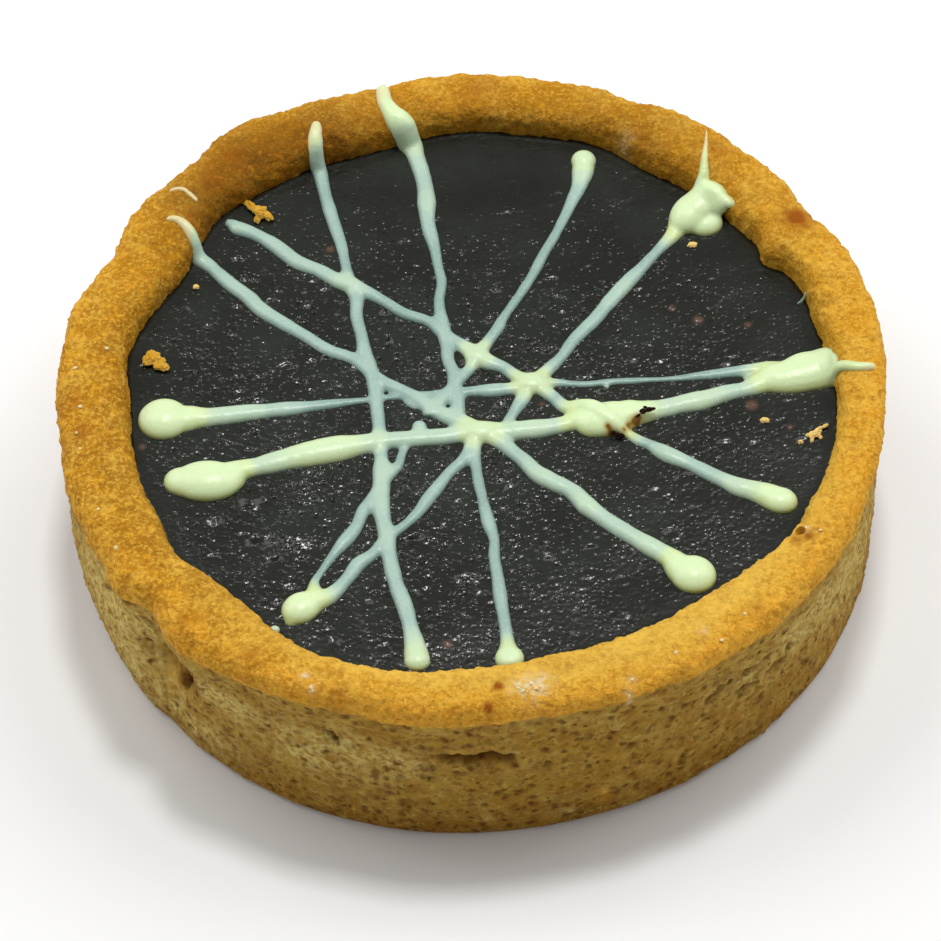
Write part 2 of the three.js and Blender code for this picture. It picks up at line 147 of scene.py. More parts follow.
# ---------------------------------------------------------------- the drizzle
# Each strand is one pass of the spoon: x, y and width in mm, lying on what is beneath it.
STRANDS = {
    "left to right": [
        (-30, -1.8, 4.2), (-28.8, -1.85, 3.9), (-27.8, -1.85, 3.2), (-26.82, -1.72, 2.99),
        (-25.73, -1.75, 2.37), (-24.03, -1.6, 2.27), (-20, -1.28, 1.94), (-15.48, -0.92, 1.47),
        (-10.5, -0.45, 0.8), (-7.6, -0.24, 0.8), (-3.6, -0.1, 1.1), (-0.4, 0.08, 1.2),
        (2.01, 0.11, 1.71), (4.2, 0.24, 1.5), (5.84, 0.72, 1.9), (8.1, 0.67, 1.1),
        (11, 0.38, 0.81), (14.5, 0.57, 0.85), (18.81, 0.54, 0.71), (23.12, 0.87, 1.21),
        (27.3, 1.3, 1.5), (29, 1.4, 1.7), (30.5, 1.2, 1.5),
    ],
    "left to right, nearer": [
        (-28.69, -9.34, 2.76), (-27.7, -9.6, 3.4), (-26, -9.65, 4.41), (-25, -9.7, 4.51),
        (-24.2, -9.4, 4.4), (-23.2, -8.95, 3.7), (-22.4, -8.37, 2.75), (-21.45, -8.1, 2.25),
        (-20, -7.79, 2.41), (-17.95, -7.25, 2.78), (-15.94, -6.81, 3.12), (-13.48, -6.33, 3.17),
        (-10, -5.77, 2.4), (-7.5, -5.5, 2.1), (-2.79, -5.3, 2.02), (0.7, -4.8, 2.3),
        (3, -5, 2.1), (5.2, -4.92, 2.37), (8.43, -4.56, 2), (9.7, -4.1, 2.5),
        (10.5, -4.15, 3.5), (11.9, -4.25, 4.2), (13.3, -3.95, 4.35), (15.2, -3.55, 3.39),
        (16.25, -3.4, 2.9), (17.4, -3.2, 2.5), (18.6, -3, 2.25), (19.87, -2.68, 2.16),
        (22.06, -2.27, 2.43), (24.15, -1.58, 2.11), (26.35, -1.13, 1.88), (28, -0.4, 2.6),
        (29.1, -0.05, 3.6), (30.5, 0.15, 4.1), (32.2, 0.5, 4.5), (33.4, 0.85, 4.7),
        (34.7, 1.05, 4.6), (35.5, 1.1, 4.4),
    ],
    "back left to right": [
        (-23.9, 23.1, 0.9), (-23.2, 22.9, 1.3), (-22.71, 22.32, 1.77), (-20.84, 21.31, 1.56),
        (-18.94, 19.76, 1.69), (-16.65, 17.36, 1.85), (-14.47, 16.14, 1.75), (-12.7, 14.8, 1.9),
        (-11.3, 14.1, 2.1), (-10, 13.2, 1.7), (-8.18, 11.89, 1.28), (-6.28, 10.29, 1.29),
        (-3.8, 9, 1.3), (-2.3, 7.3, 1.5), (-0.7, 5.8, 1.6), (0.65, 4.5, 2.2),
        (1.88, 3.54, 1.84), (3.2, 2.9, 1.44), (4.4, 1.7, 1.5), (5.8, 0.8, 1.9),
        (7.5, -0.7, 1.5), (8.92, -2.36, 1.74), (10.3, -2.4, 1.8), (11.3, -3, 1.8),
        (12.4, -3.95, 1.8), (13.6, -5.1, 1.6), (14.8, -5.98, 1.12), (15.82, -6.87, 1.31),
        (16.71, -7.38, 1.36), (18.05, -8.43, 2.09), (19.96, -9.62, 1.67), (21.97, -10.97, 1.76),
        (23.67, -12.13, 1.86), (24.76, -12.88, 2.22), (26.09, -13.39, 2.34),
        (27.37, -13.98, 2.93), (28.4, -14.65, 3.1), (29, -14.95, 2.8),
    ],
    "back right to the middle": [
        (12.41, 29.3, 2.18), (12.25, 28.2, 2.48), (12.06, 27.22, 2.25), (11.81, 26.25, 1.94),
        (11.53, 25.34, 1.68), (10.78, 23.71, 1.39), (9.4, 20.41, 1.15), (7.84, 17.34, 1.15),
        (6.42, 14.29, 1.15), (4.51, 10.97, 1.06), (3.29, 8.96, 1.11), (2.81, 7.79, 1.39),
        (1.67, 6.05, 1.28), (0.6, 4.5, 2.1), (-0.01, 2.95, 1.28), (-1, 1.8, 1.5),
        (-2, 0.4, 1.5), (-3, -0.9, 1.6), (-3.8, -2, 1.8), (-4, -2.9, 1.6),
    ],
    "right to the middle": [
        (24.6, 23.4, 2.6), (23.9, 22.9, 3.2), (22.8, 22, 3.3), (21.8, 20.8, 3),
        (21.11, 19.55, 2.31), (20.57, 18.7, 1.77), (19.21, 17.17, 1.35), (17.6, 15.1, 1.36),
        (15.69, 12.82, 1.77), (14, 10.64, 1.65), (12.13, 8.19, 1.61), (9.94, 5.61, 1.45),
        (8.94, 4.04, 1.26), (7, 1.8, 1.7), (5.8, 0.6, 1.8), (4.72, -1.41, 1.59),
        (3.91, -2.81, 1.23), (3.2, -4, 1.1),
    ],
    "middle to front left": [
        (0.2, -5.6, 1.9), (-0.3, -7, 1.7), (-1, -8.2, 1.5), (-2.35, -9.54, 1.2),
        (-3.46, -11.17, 1.41), (-4.69, -12.9, 1.49), (-5.7, -14.49, 1.22), (-7.3, -16.1, 1.1),
        (-8.5, -17, 1.3), (-9.96, -18.94, 1.31), (-11.3, -19.97, 1.73), (-12.33, -21.63, 1.44),
        (-13.57, -23.14, 1.62), (-14.4, -23.7, 2), (-15.4, -24, 2.8), (-16.3, -24.6, 3.3),
        (-16.95, -25.3, 3.0), (-17.4, -25.9, 2.2), (-17.75, -26.4, 1.3), (-17.95, -26.7, 0.5),
    ],
    "near left to front left": [
        (-5.15, -4.05, 1.3), (-5.6, -4.9, 1.1), (-6.2, -5.6, 1), (-6.96, -7.28, 0.96),
        (-7.3, -8.6, 1.1), (-8.4, -9.9, 1.4), (-10.05, -12.7, 1.3), (-10.84, -14.03, 1.47),
        (-11.46, -15.78, 1.4), (-12.48, -17.28, 1.51), (-13.69, -18.91, 1.1),
        (-14.7, -20.65, 0.85), (-15.41, -21.85, 1.01), (-15.4, -23.2, 2),
    ],
    "middle to front": [
        (0.1, -5.5, 1.8), (-0.1, -7.1, 1.6), (0.08, -9.31, 1.16), (0.33, -11.41, 1.16),
        (0.65, -13.51, 1.16), (1.01, -15.73, 1.44), (1.52, -17.8, 1.08), (1.42, -19.7, 1.3),
        (1.61, -21.8, 1.25), (1.82, -24.39, 1.39), (2.1, -26.98, 1.29), (2.23, -28.58, 1.26),
        (2.32, -29.8, 1.49), (2.37, -30.8, 2.21), (2.45, -31.8, 2.32), (2.45, -32.3, 2.3),
    ],
}
# The same for the passes that ran over the rim.
RIM_STRANDS = {
    "over the right rim": [
        (34.9, -0.5, 1.3), (35.4, -0.85, 1.3), (35.95, -1.2, 1.25), (36.47, -1.5, 1.15),
        (37.2, -1.62, 1.1), (37.8, -1.65, 1.05), (38.35, -1.6, 0.9), (38.7, -1.55, 0.6),
    ],
    "back left to front right": [
        (-29.5, 21.2, 0.5), (-29.15, 21.4, 0.8), (-28.7, 21.4, 0.95), (-28.15, 21.1, 1.1),
        (-27.65, 20.6, 1.2), (-27.2, 20, 1.3), (-26.85, 19.3, 1.4), (-26.44, 18.37, 1.76),
        (-25.31, 17.4, 1.6), (-23.4, 15.01, 1.64), (-21.5, 13.1, 1.75), (-20.45, 11.65, 1.72),
        (-18.46, 9.89, 1.7), (-16.12, 8.02, 1.47), (-13.76, 5.97, 1.51), (-11.3, 4.7, 1.5),
        (-9.4, 2.5, 1.5), (-7.8, 1.2, 1.6), (-6.3, 0.24, 1.5), (-5, -0.7, 1.6), (-3.8, -2, 1.8),
        (-2.2, -3, 1.9), (-0.7, -3.9, 2), (2.3, -6, 2), (3.69, -7.51, 1.6), (4.78, -8.7, 1.7),
        (5.91, -10.26, 1.99), (7.27, -11.33, 1.97), (8.99, -12.44, 1.91), (10.31, -14.24, 2.17),
        (11.8, -15.78, 1.92), (13.44, -17.33, 1.96), (15.32, -18.85, 2.09),
        (17.06, -20.21, 2.12), (18, -20.98, 2.44), (18.7, -22, 3.2), (19.6, -22.8, 3.9),
        (20.3, -23.4, 3.7),
    ],
    "back left to front": [
        (-14.5, 33.2, 0.9), (-14.5, 32.4, 1.3), (-14.6, 31.6, 1.55), (-14.65, 30.8, 1.65),
        (-14.65, 30.1, 1.7), (-14.3, 29.2, 1.6), (-14.02, 27.3, 1.41), (-13.51, 24.62, 1.46),
        (-12.91, 21.96, 1.45), (-12.3, 19.27, 1.36), (-11.9, 16.7, 1.21), (-11.6, 14.5, 1.6),
        (-10.95, 12.4, 1.5), (-10.94, 10, 1.4), (-10.48, 7.5, 1.36), (-10.2, 5.2, 1.6),
        (-9.4, 1.9, 1.6), (-9.2, -0.4, 1.5), (-9.06, -3.6, 1.37), (-9, -5.2, 1.7),
        (-8.9, -7.4, 1.39), (-8.8, -9, 1.9), (-8.95, -11, 1.9), (-9, -13.1, 1.8),
        (-8.82, -15.22, 1.75), (-8.55, -16.7, 1.8), (-8.45, -18.4, 1.6), (-8.12, -20.8, 1.7),
        (-7.66, -22.94, 1.64), (-7.07, -25.01, 1.74), (-6.47, -28.09, 1.69),
        (-6.26, -29.39, 2.07), (-6.11, -30.7, 2.45), (-6.01, -31.7, 2.14),
    ],
    "back to the middle": [
        (-7.7, 38.2, 1.2), (-7.67, 37.5, 1.5), (-7.58, 36.6, 1.6), (-7.5, 35.8, 1.6),
        (-7.2, 35.1, 1.8), (-6.8, 34.3, 2.2), (-6.3, 33.7, 2.6), (-5.8, 33.2, 2.8),
        (-5.3, 32.7, 2.6), (-4.96, 32.07, 2.48), (-4.71, 31.36, 1.97), (-4.46, 30.27, 1.82),
        (-3.86, 27.6, 1.78), (-3.72, 25.3, 1.89), (-3.68, 24.3, 1.94), (-3.61, 21.7, 1.59),
        (-3.16, 19.22, 1.39), (-2.85, 16.69, 1.08), (-2.47, 14.1, 1.12), (-2.79, 11.7, 1.12),
        (-2.6, 8.7, 1.6), (-2.2, 6, 1.5), (-2.16, 4.09, 1.32), (-1.7, 2.5, 1.4),
        (-1.6, 0.7, 1.4), (-1.4, -0.4, 1.5), (-1.4, -3, 1.6),
    ],
    "streak from the right rim": [
        (24.75, 30.2, 0.35), (24.6, 28.7, 0.5), (24.4, 27.4, 0.65), (24.2, 26.1, 0.85),
        (24.1, 25, 1.1), (24, 24.2, 1.5), (23.6, 23.4, 2),
    ],
    "dab on the left rim": [
        (-29.5, 24.9, 0.4), (-29, 25.25, 0.55), (-28.55, 25.4, 0.65), (-27.85, 25.2, 0.7),
        (-27.4, 24.8, 0.7), (-27, 24.35, 0.65), (-26.4, 23.65, 0.45),
    ],
    "sliver at the right": [(32.1, 9.3, 0.35), (32.6, 9.55, 0.45), (33.2, 9.8, 0.4)],
}
# Drops: middle (x, y, mm over the ganache), half sizes (along, across, up), turn in degrees.
DROPS = [
    ((-29.7, -1.85, 0), (2.5, 2.45, 1.95), 0), ((-25.5, -9.55, 0), (3.4, 2.35, 1.95), -2),
    ((-28.0, -9.4, 0), (1.65, 1.6, 1.35), 0), ((12.3, -4.2, 0), (2.8, 2.05, 1.7), 5),
    ((19.85, -22.95, 0), (2.2, 2.1, 1.75), -42), ((28.6, -14.75, 0), (1.7, 1.5, 1.35), -26),
    ((-6.05, -31.3, 0), (1.25, 1.2, 1.05), 0), ((2.4, -31.5, 0), (1.4, 1.35, 1.2), 0),
    ((12.3, 29.2, 0), (1.3, 1.35, 1.15), 0), ((22.9, 21.5, 0.3), (3.0, 2.1, 2.1), 48),
    ((23.9, 20.2, 0), (1.85, 1.75, 1.5), 0), ((24.8, 22.5, 1.4), (2.0, 1.6, 1.4), -45),
    ((23.6, 22.0, 1.0), (2.6, 1.8, 1.7), 45), ((25.0, 21.7, 1.4), (1.5, 1.1, 1.2), -35),
    ((26.0, 21.6, 1.9), (1.5, 0.7, 0.5), -45), ((-16.7, -24.85, 0), (1.95, 1.7, 1.5), 42),
    ((0.65, 4.5, 0), (1.3, 1.15, 0.9), 0), ((5.8, 0.72, 0), (1.6, 1.3, 1.0), 0),
    ((0.7, -5.0, 0), (1.9, 1.3, 1.1), 0), ((-5.15, -4.0, 0), (0.75, 0.7, 0.8), 0),
    ((13.06, -0.1, 0), (0.3, 0.3, 0.3), 0), ((-19.1, -27.3, 0.3), (0.55, 0.5, 0.5), 0),
    ((32.6, 0.8, 0), (3.0, 2.2, 1.8), 8), ((35.2, 0.6, 0.4), (1.0, 2.15, 2.15), 4),
]
# Where one strand crosses high over another: x, y, size of the place and lift in mm.
CROSSINGS = {"back left to right": (12.4, -4.0, 2.3, 1.3)}
# Webs of thin chocolate between strands, in the same measures as the drops.
WEBS = [((27.6, 0.5, 0), (1.5, 1.2, 0.28), 10), ((-5.6, -0.9, 0), (1.3, 0.9, 0.3), -40)]
# Brown stains round the burnt crumbs: x, y and size in mm.
STAINS = [(15.9, -4.5, 0.4), (15.4, -4.9, 0.5), (14.9, -5.4, 0.4), (14.4, -5.85, 0.25),
          (13.0, -6.0, 0.4), (12.8, -5.6, 0.3), (13.5, -6.3, 0.4)]
STRAND_STEP = 0.4        # mm between the points a strand is drawn with
STRAND_SINK = 0.1        # how deep a strand's middle line lies, as a share of its width
DRIZZLE_FLATNESS = 0.74  # a soft strand settles to this share of its height
DRIZZLE_VOXEL = 0.165    # mm between the points of the melted body
DRIZZLE_CUT = 0.35       # mm under the ganache at which the hidden part ends


# ---------------------------------------------------------------- sizes and colours
def linear(hex_colour):
    """Linear red, green and blue of an sRGB colour written as six hex digits."""
    shares = [int(hex_colour[i:i + 2], 16) / 255 for i in (0, 2, 4)]
    return tuple(s / 12.92 if s <= 0.04045 else ((s + 0.055) / 1.055) ** 2.4 for s in shares)


def length(name, description, millimetres):
    return bpy.props.FloatProperty(
        name=name, description=description, default=millimetres * MM, min=0.0, precision=4,
        subtype="DISTANCE", unit="LENGTH")


def colour(name, description, hex_colour):
    return bpy.props.FloatVectorProperty(
        name=name, description=description, default=linear(hex_colour), min=0.0, max=1.0,
        size=3, subtype="COLOR")


class TartSizes(bpy.types.PropertyGroup):
    """Sizes of the tart."""
    foot_radius: length("Foot radius", "Outside of the case at its foot", 39.1)
    wall_radius: length("Wall radius", "Outside of the case at the top of its wall", 39.5)
    rim_radius: length("Rim radius", "Outside of the baked rim", 40.05)
    well_radius: length("Well radius", "Inside of the case at the ganache", 33.5)
    floor_radius: length("Floor radius", "Inside of the case at its floor", 32.4)
    foot_rounding: length("Foot rounding", "Rounding of the lower edge", 0.7)
    wall_top: length("Wall top", "Height where the wall swells into the rim", 16.2)
    rim_height: length("Rim height", "Height of the rim's crest", 21.1)
    fill_height: length("Ganache level", "Height of the ganache", 18.1)
    floor_height: length("Floor thickness", "Thickness of the pastry under the ganache", 4.5)
    gold_edge: length("Golden edge", "Height where the pale wall turns golden", 18.9)
    crumb_relief: length("Crumb relief", "Height of the fine unevenness of the pastry", 0.16)
    ganache_relief: length("Ganache relief", "Height of the fine unevenness of the ganache", 0.16)


class TartColours(bpy.types.PropertyGroup):
    """Colours of the tart."""
    wall: colour("Wall", "Pastry that baked against the ring", "AC842C")
    # Also laid close under the golden edge as painted light against the overhang's shade.
    wall_light: colour("Wall, light", "Lighter places of the wall", "C6A752")
    # Also laid towards the foot of the wall as painted shade.
    wall_dark: colour("Wall, dark", "Browner places of the wall", "84560F")
    gold: colour("Gold", "Top of the rim", "DB9B1E")
    gold_light: colour("Gold, light", "Butter-yellow places of the rim", "EEC04E")
    # Painted light: a brighter orange for the front shoulder of the rim, which turns away from the
    # light.
    gold_painted_light: colour("Gold, warm", "Orange shoulder of the rim", "F2AE38")
    gold_brown: colour("Gold, brown", "Toasted specks of the rim", "B87A14")
    # Also painted shade on the rim's inner side, where it faces away from the light.
    gold_dark: colour("Gold, dark", "Places of the rim that caught more heat", "5C3402")
    rust: colour("Wall, rust", "Rusty spots of the wall", "96621A")
    # Also laid in the holes and cracks as painted shade.
    pit: colour("Pit", "Inside of the small holes", "62380A")
    burnt: colour("Burnt", "Browned spots of the rim", "985206")
    flour: colour("Flour", "Dusted and scuffed places of the wall", "D4BC6E")
    sugar: colour("Sugar", "Sugar left on the pastry", "EAD4A4")
    ganache: colour("Ganache", "Set dark ganache", "1A1B15")
    # Painted sheen: the lighter tone laid in patches and where the skin is broken.
    ganache_painted_sheen: colour("Ganache, light", "Drier places of the ganache", "2E312B")
    ganache_deep: colour("Ganache, pits", "Ganache in its own shade", "050504")
    fat: colour("Ganache, spots", "Small spots on the ganache", "5C4638")
    # Top and foot of a drop: the foot's darker yellow is partly the drop's thin edge, partly
    # painted shade.
    chocolate: colour("White chocolate", "Top of a thick drop", "D6EAB8")
    chocolate_edge: colour("White chocolate, edge", "Foot of a thick drop", "BCC878")
    chocolate_strand: colour("White chocolate, strand", "A full strand", "B6CFBE")
    chocolate_film: colour("White chocolate, film", "The thinnest edge of a strand", "5E756C")
    chocolate_thin: colour("White chocolate, thin", "Thin drizzle over the ganache", "8AA8A0")
    chocolate_on_pastry: colour("White chocolate, on pastry", "Thin drizzle on the rim", "DCC795")
    toffee: colour("Toffee", "Stain round a burnt crumb", "AC8414")
    char: colour("Char", "Burnt crumb", "381804")
    char_dark: colour("Char, dark", "Blackest parts of a burnt crumb", "100502")
    crumb: colour("Crumb", "Broken crumb", "E8C66C")
    crumb_crust: colour("Crumb, crust", "Golden skin on a crumb", "C8921C")
    floor: colour("Floor", "Plain floor", "F4F4F4")


# ---------------------------------------------------------------- helpers
def deselect():
    if bpy.context.mode != "OBJECT":
        bpy.ops.object.mode_set(mode="OBJECT")
    bpy.ops.object.select_all(action="DESELECT")


def take(*pieces):
    """Select these pieces alone; the first is the active one."""
    deselect()
    for piece in pieces:
        piece.select_set(True)
    bpy.context.view_layer.objects.active = pieces[0]


def choose(piece, chosen):
    """Go into edit mode with just these points of the piece selected."""
    take(piece)
    bpy.ops.object.mode_set(mode="EDIT")
    bpy.ops.mesh.select_mode(type="VERT")
    bpy.ops.mesh.select_all(action="DESELECT")
    bpy.ops.object.mode_set(mode="OBJECT")
    piece.data.vertices.foreach_set("select", chosen)
    bpy.ops.object.mode_set(mode="EDIT")


def face_out():
    """Turn every face outwards and leave edit mode."""
    bpy.ops.mesh.select_all(action="SELECT")
    bpy.ops.mesh.normals_make_consistent(inside=False)
    bpy.ops.object.mode_set(mode="OBJECT")


def points_of(piece):
    """The mesh's points in millimetres, one row each."""
    flat = np.empty(len(piece.data.vertices) * 3)
    piece.data.vertices.foreach_get("co", flat)
    return flat.reshape(-1, 3) / MM


def put_points(piece, points):
    piece.data.vertices.foreach_set("co", (np.asarray(points) * MM).ravel())
    piece.data.update()


def normals_of(piece):
    flat = np.empty(len(piece.data.vertices) * 3)
    piece.data.vertices.foreach_get("normal", flat)
    return flat.reshape(-1, 3)


def mark(piece, name, values):
    """Keep one number for each point of the mesh, for the material to read."""
    attribute = piece.data.attributes.new(name, "FLOAT", "POINT")
    attribute.data.foreach_set("value", np.asarray(values, dtype=np.float32))


def step(low, high, values):
    """Smooth step from 0 at low to 1 at high."""
    share = np.clip((values - low) / (high - low), 0, 1)
    return share * share * (3 - 2 * share)


def lumps(points, size, stretch=(1, 1, 1), shift=0.0):
    """Noise from about -1 to 1 whose lumps are size mm across."""
    places = points * np.array(stretch) / size + shift
    return np.array([noise.noise(place) for place in places.tolist()])


def holes(points, spacing, share, stretch=(1, 1, 1), shift=0.0, widest=0.32):
    """Depth, 0 to 1, of round-bottomed holes scattered one to every spacing mm at most."""
    depths = []
    for place in (points * np.array(stretch) / spacing + shift).tolist():
        away, middles = noise.voronoi(place)
        lot = 0.5 + 0.5 * noise.cell(middles[0] * 9.7)
        radius = widest * (0.5 + 0.5 * lot / share)
        depths.append(max(0.0, 1 - (away[0] / radius) ** 2) if lot < share else 0.0)
    return np.array(depths)


def bulge(places, angles):
    """Sum of smooth swellings round the tart, for angles in degrees."""
    total = np.zeros_like(angles)
    for middle, half, amount in places:
        away = (angles - middle + 540) % 360 - 180
        total += amount * np.exp(-(away / half) ** 2)
    return total


def near(points, x, y, size, power=2):
    """1 at a place and less round it, over size mm; the higher the power, the steeper."""
    return np.exp(-(np.hypot(points[:, 0] - x, points[:, 1] - y) / size) ** power)


def crest_wave(angles):
    total = np.zeros_like(angles)
    for turns, amount, phase in CREST_WAVES:
        total += amount * np.sin((turns * angles + phase) * DEGREE)
    return total


def round_the_tart(points):
    """Radius and angle in degrees of each point."""
    radii = np.hypot(points[:, 0], points[:, 1])
    return radii, np.degrees(np.arctan2(points[:, 1], points[:, 0])) % 360


def well_edge(sizes, angles):
    """Radius in mm at which the pastry stands round the ganache."""
    return sizes.well_radius / MM + bulge(INNER_BULGES, angles)


def top_height(sizes, x, y):
    """Height of what carries the drizzle: ganache inside the well, the round rim outside it."""
    angles = np.degrees(np.arctan2(y, x)) % 360
    inner = well_edge(sizes, angles)
    outer = sizes.rim_radius / MM + bulge(OUTER_BULGES, angles)
    across = 2 * (np.hypot(x, y) - inner) / (outer - inner) - 1
    low = sizes.fill_height / MM
    rise = sizes.rim_height / MM + crest_wave(angles) - low
    power = np.where(across > 0, RIM_OUTSIDE, RIM_INSIDE)
    over = (1 - np.minimum(np.abs(across), 0.98) ** power) ** (1 / power)
    return np.where(across <= -1, low, low + rise * over)


def carrier(sizes, x, y):
    """Height in mm of what carries a crumb at this one place."""
    return float(top_height(sizes, np.array([x]), np.array([y]))[0])


def apply_modifier(piece, kind, **settings):
    take(piece)
    modifier = piece.modifiers.new(kind.title(), kind)
    for name, value in settings.items():
        setattr(modifier, name, value)
    bpy.ops.object.modifier_apply(modifier=modifier.name)


def roughen(piece, size, height, group=""):
    """Raise and lower the surface in lumps of size mm, by height mm in all."""
    texture = bpy.data.textures.new("lumps", "CLOUDS")
    texture.noise_scale = size * MM
    texture.noise_depth = 1
    apply_modifier(piece, "DISPLACE", texture=texture, texture_coords="LOCAL",
                   strength=height * MM, mid_level=0.5, vertex_group=group)
    bpy.data.textures.remove(texture)


def finish_piece(piece, name, material, slot, *nodes):
    """Name the piece, give it its material, tie it to the body and hide the nodes it stands for."""
    piece.name = piece.data.name = name
    take(piece)
    bpy.ops.object.transform_apply(location=True, rotation=True, scale=True)
    bpy.ops.object.shade_smooth()
    piece.data.materials.clear()
    piece.data.materials.append(material)
    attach(piece, BODY)
    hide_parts(*nodes)
    deselect()


# ---------------------------------------------------------------- materials
def new_tree(name):
    material = bpy.data.materials.new(name)
    material.use_nodes = True
    material.node_tree.nodes.clear()
    return material, material.node_tree


def add_node(tree, kind, inputs=None, **settings):
    """Add a node with its settings; each input gets a value or another node's output."""
    node = tree.nodes.new(kind)
    for name, value in settings.items():
        setattr(node, name, value)
    for socket, value in (inputs or {}).items():
        if isinstance(value, bpy.types.NodeSocket):
            tree.links.new(value, node.inputs[socket])
        else:
            node.inputs[socket].default_value = value
    return node


def opaque(colour_value):
    return (*colour_value, 1.0)


FACTOR, FIRST, SECOND, MIXED = 0, 6, 7, 2      # sockets of a Mix node that mixes colours


def layer(tree, cover, under, over):
    """Lay one colour over another; the cover, 0 to 1, is how much of it hides what is under it."""
    under, over = (value if isinstance(value, bpy.types.NodeSocket) else opaque(value)
                   for value in (under, over))
    return add_node(tree, "ShaderNodeMix", {FACTOR: cover, FIRST: under, SECOND: over},
                    data_type="RGBA").outputs[MIXED]


def maths(tree, operation, *values, clamp=False):
    return add_node(tree, "ShaderNodeMath", dict(enumerate(values)), operation=operation,
                    use_clamp=clamp).outputs["Value"]


def cloud(tree, where, size, detail=2.0, roughness=0.5):
    """Noise from 0 to 1 whose lumps are size mm across."""
    return add_node(tree, "ShaderNodeTexNoise", {
        "Vector": where, "Scale": 1 / (size * MM), "Detail": detail,
        "Roughness": roughness}).outputs["Fac"]


def cells_of(tree, where, size):
    """Distance to the middle of each cell of size mm, and a number from 0 to 1 drawn for it."""
    cells = add_node(tree, "ShaderNodeTexVoronoi", {"Vector": where, "Scale": 1 / (size * MM)})
    lot = add_node(tree, "ShaderNodeSeparateColor", {"Color": cells.outputs["Color"]})
    return cells.outputs["Distance"], lot.outputs["Red"]


def span(tree, value, low=0.0, high=1.0, least=0.0, most=1.0):
    """Turn values from low to high into values from least to most."""
    return add_node(tree, "ShaderNodeMapRange", {
        "Value": value, "From Min": low, "From Max": high, "To Min": least,
        "To Max": most}).outputs["Result"]


def marks_of(tree, *names):
    return {name: add_node(tree, "ShaderNodeAttribute", attribute_name=name).outputs["Fac"]
            for name in names}


def bumped(tree, height, strength, distance):
    return add_node(tree, "ShaderNodeBump", {
        "Strength": strength, "Distance": distance * MM, "Height": height}).outputs["Normal"]


def surface(tree, inputs):
    shader = add_node(tree, "ShaderNodeBsdfPrincipled", inputs)
    add_node(tree, "ShaderNodeOutputMaterial", {"Surface": shader.outputs["BSDF"]})


# Clouds of the pastry's colour: name, mm across, values of the noise where each starts and is
# full, and how much it covers at most. The wall's lie a little flat, as the dough was rolled.
RIM_CLOUDS = [
    ("zone", 5.0, 0.38, 0.68, 0.7), ("patch", 1.8, 0.45, 0.62, 0.7),
    ("light patch", 3.2, 0.42, 0.7, 0.6), ("speck", 0.6, 0.48, 0.68, 0.75),
    ("grain", 0.35, 0.5, 0.64, 0.6), ("toast", 0.6, 0.38, 0.62, 1.0),
    ("dust", 0.6, 0.36, 0.62, 1.0),
]
WALL_CLOUDS = [
    ("wall patch", 3.5, 0.4, 0.66, 0.6), ("wall grain", 0.6, 0.52, 0.68, 0.8),
    ("wall rust", 1.2, 0.48, 0.7, 0.7), ("wall brown", 1.8, 0.5, 0.66, 0.5),
    ("wall mark", 0.9, 0.46, 0.34, 0.5),
]


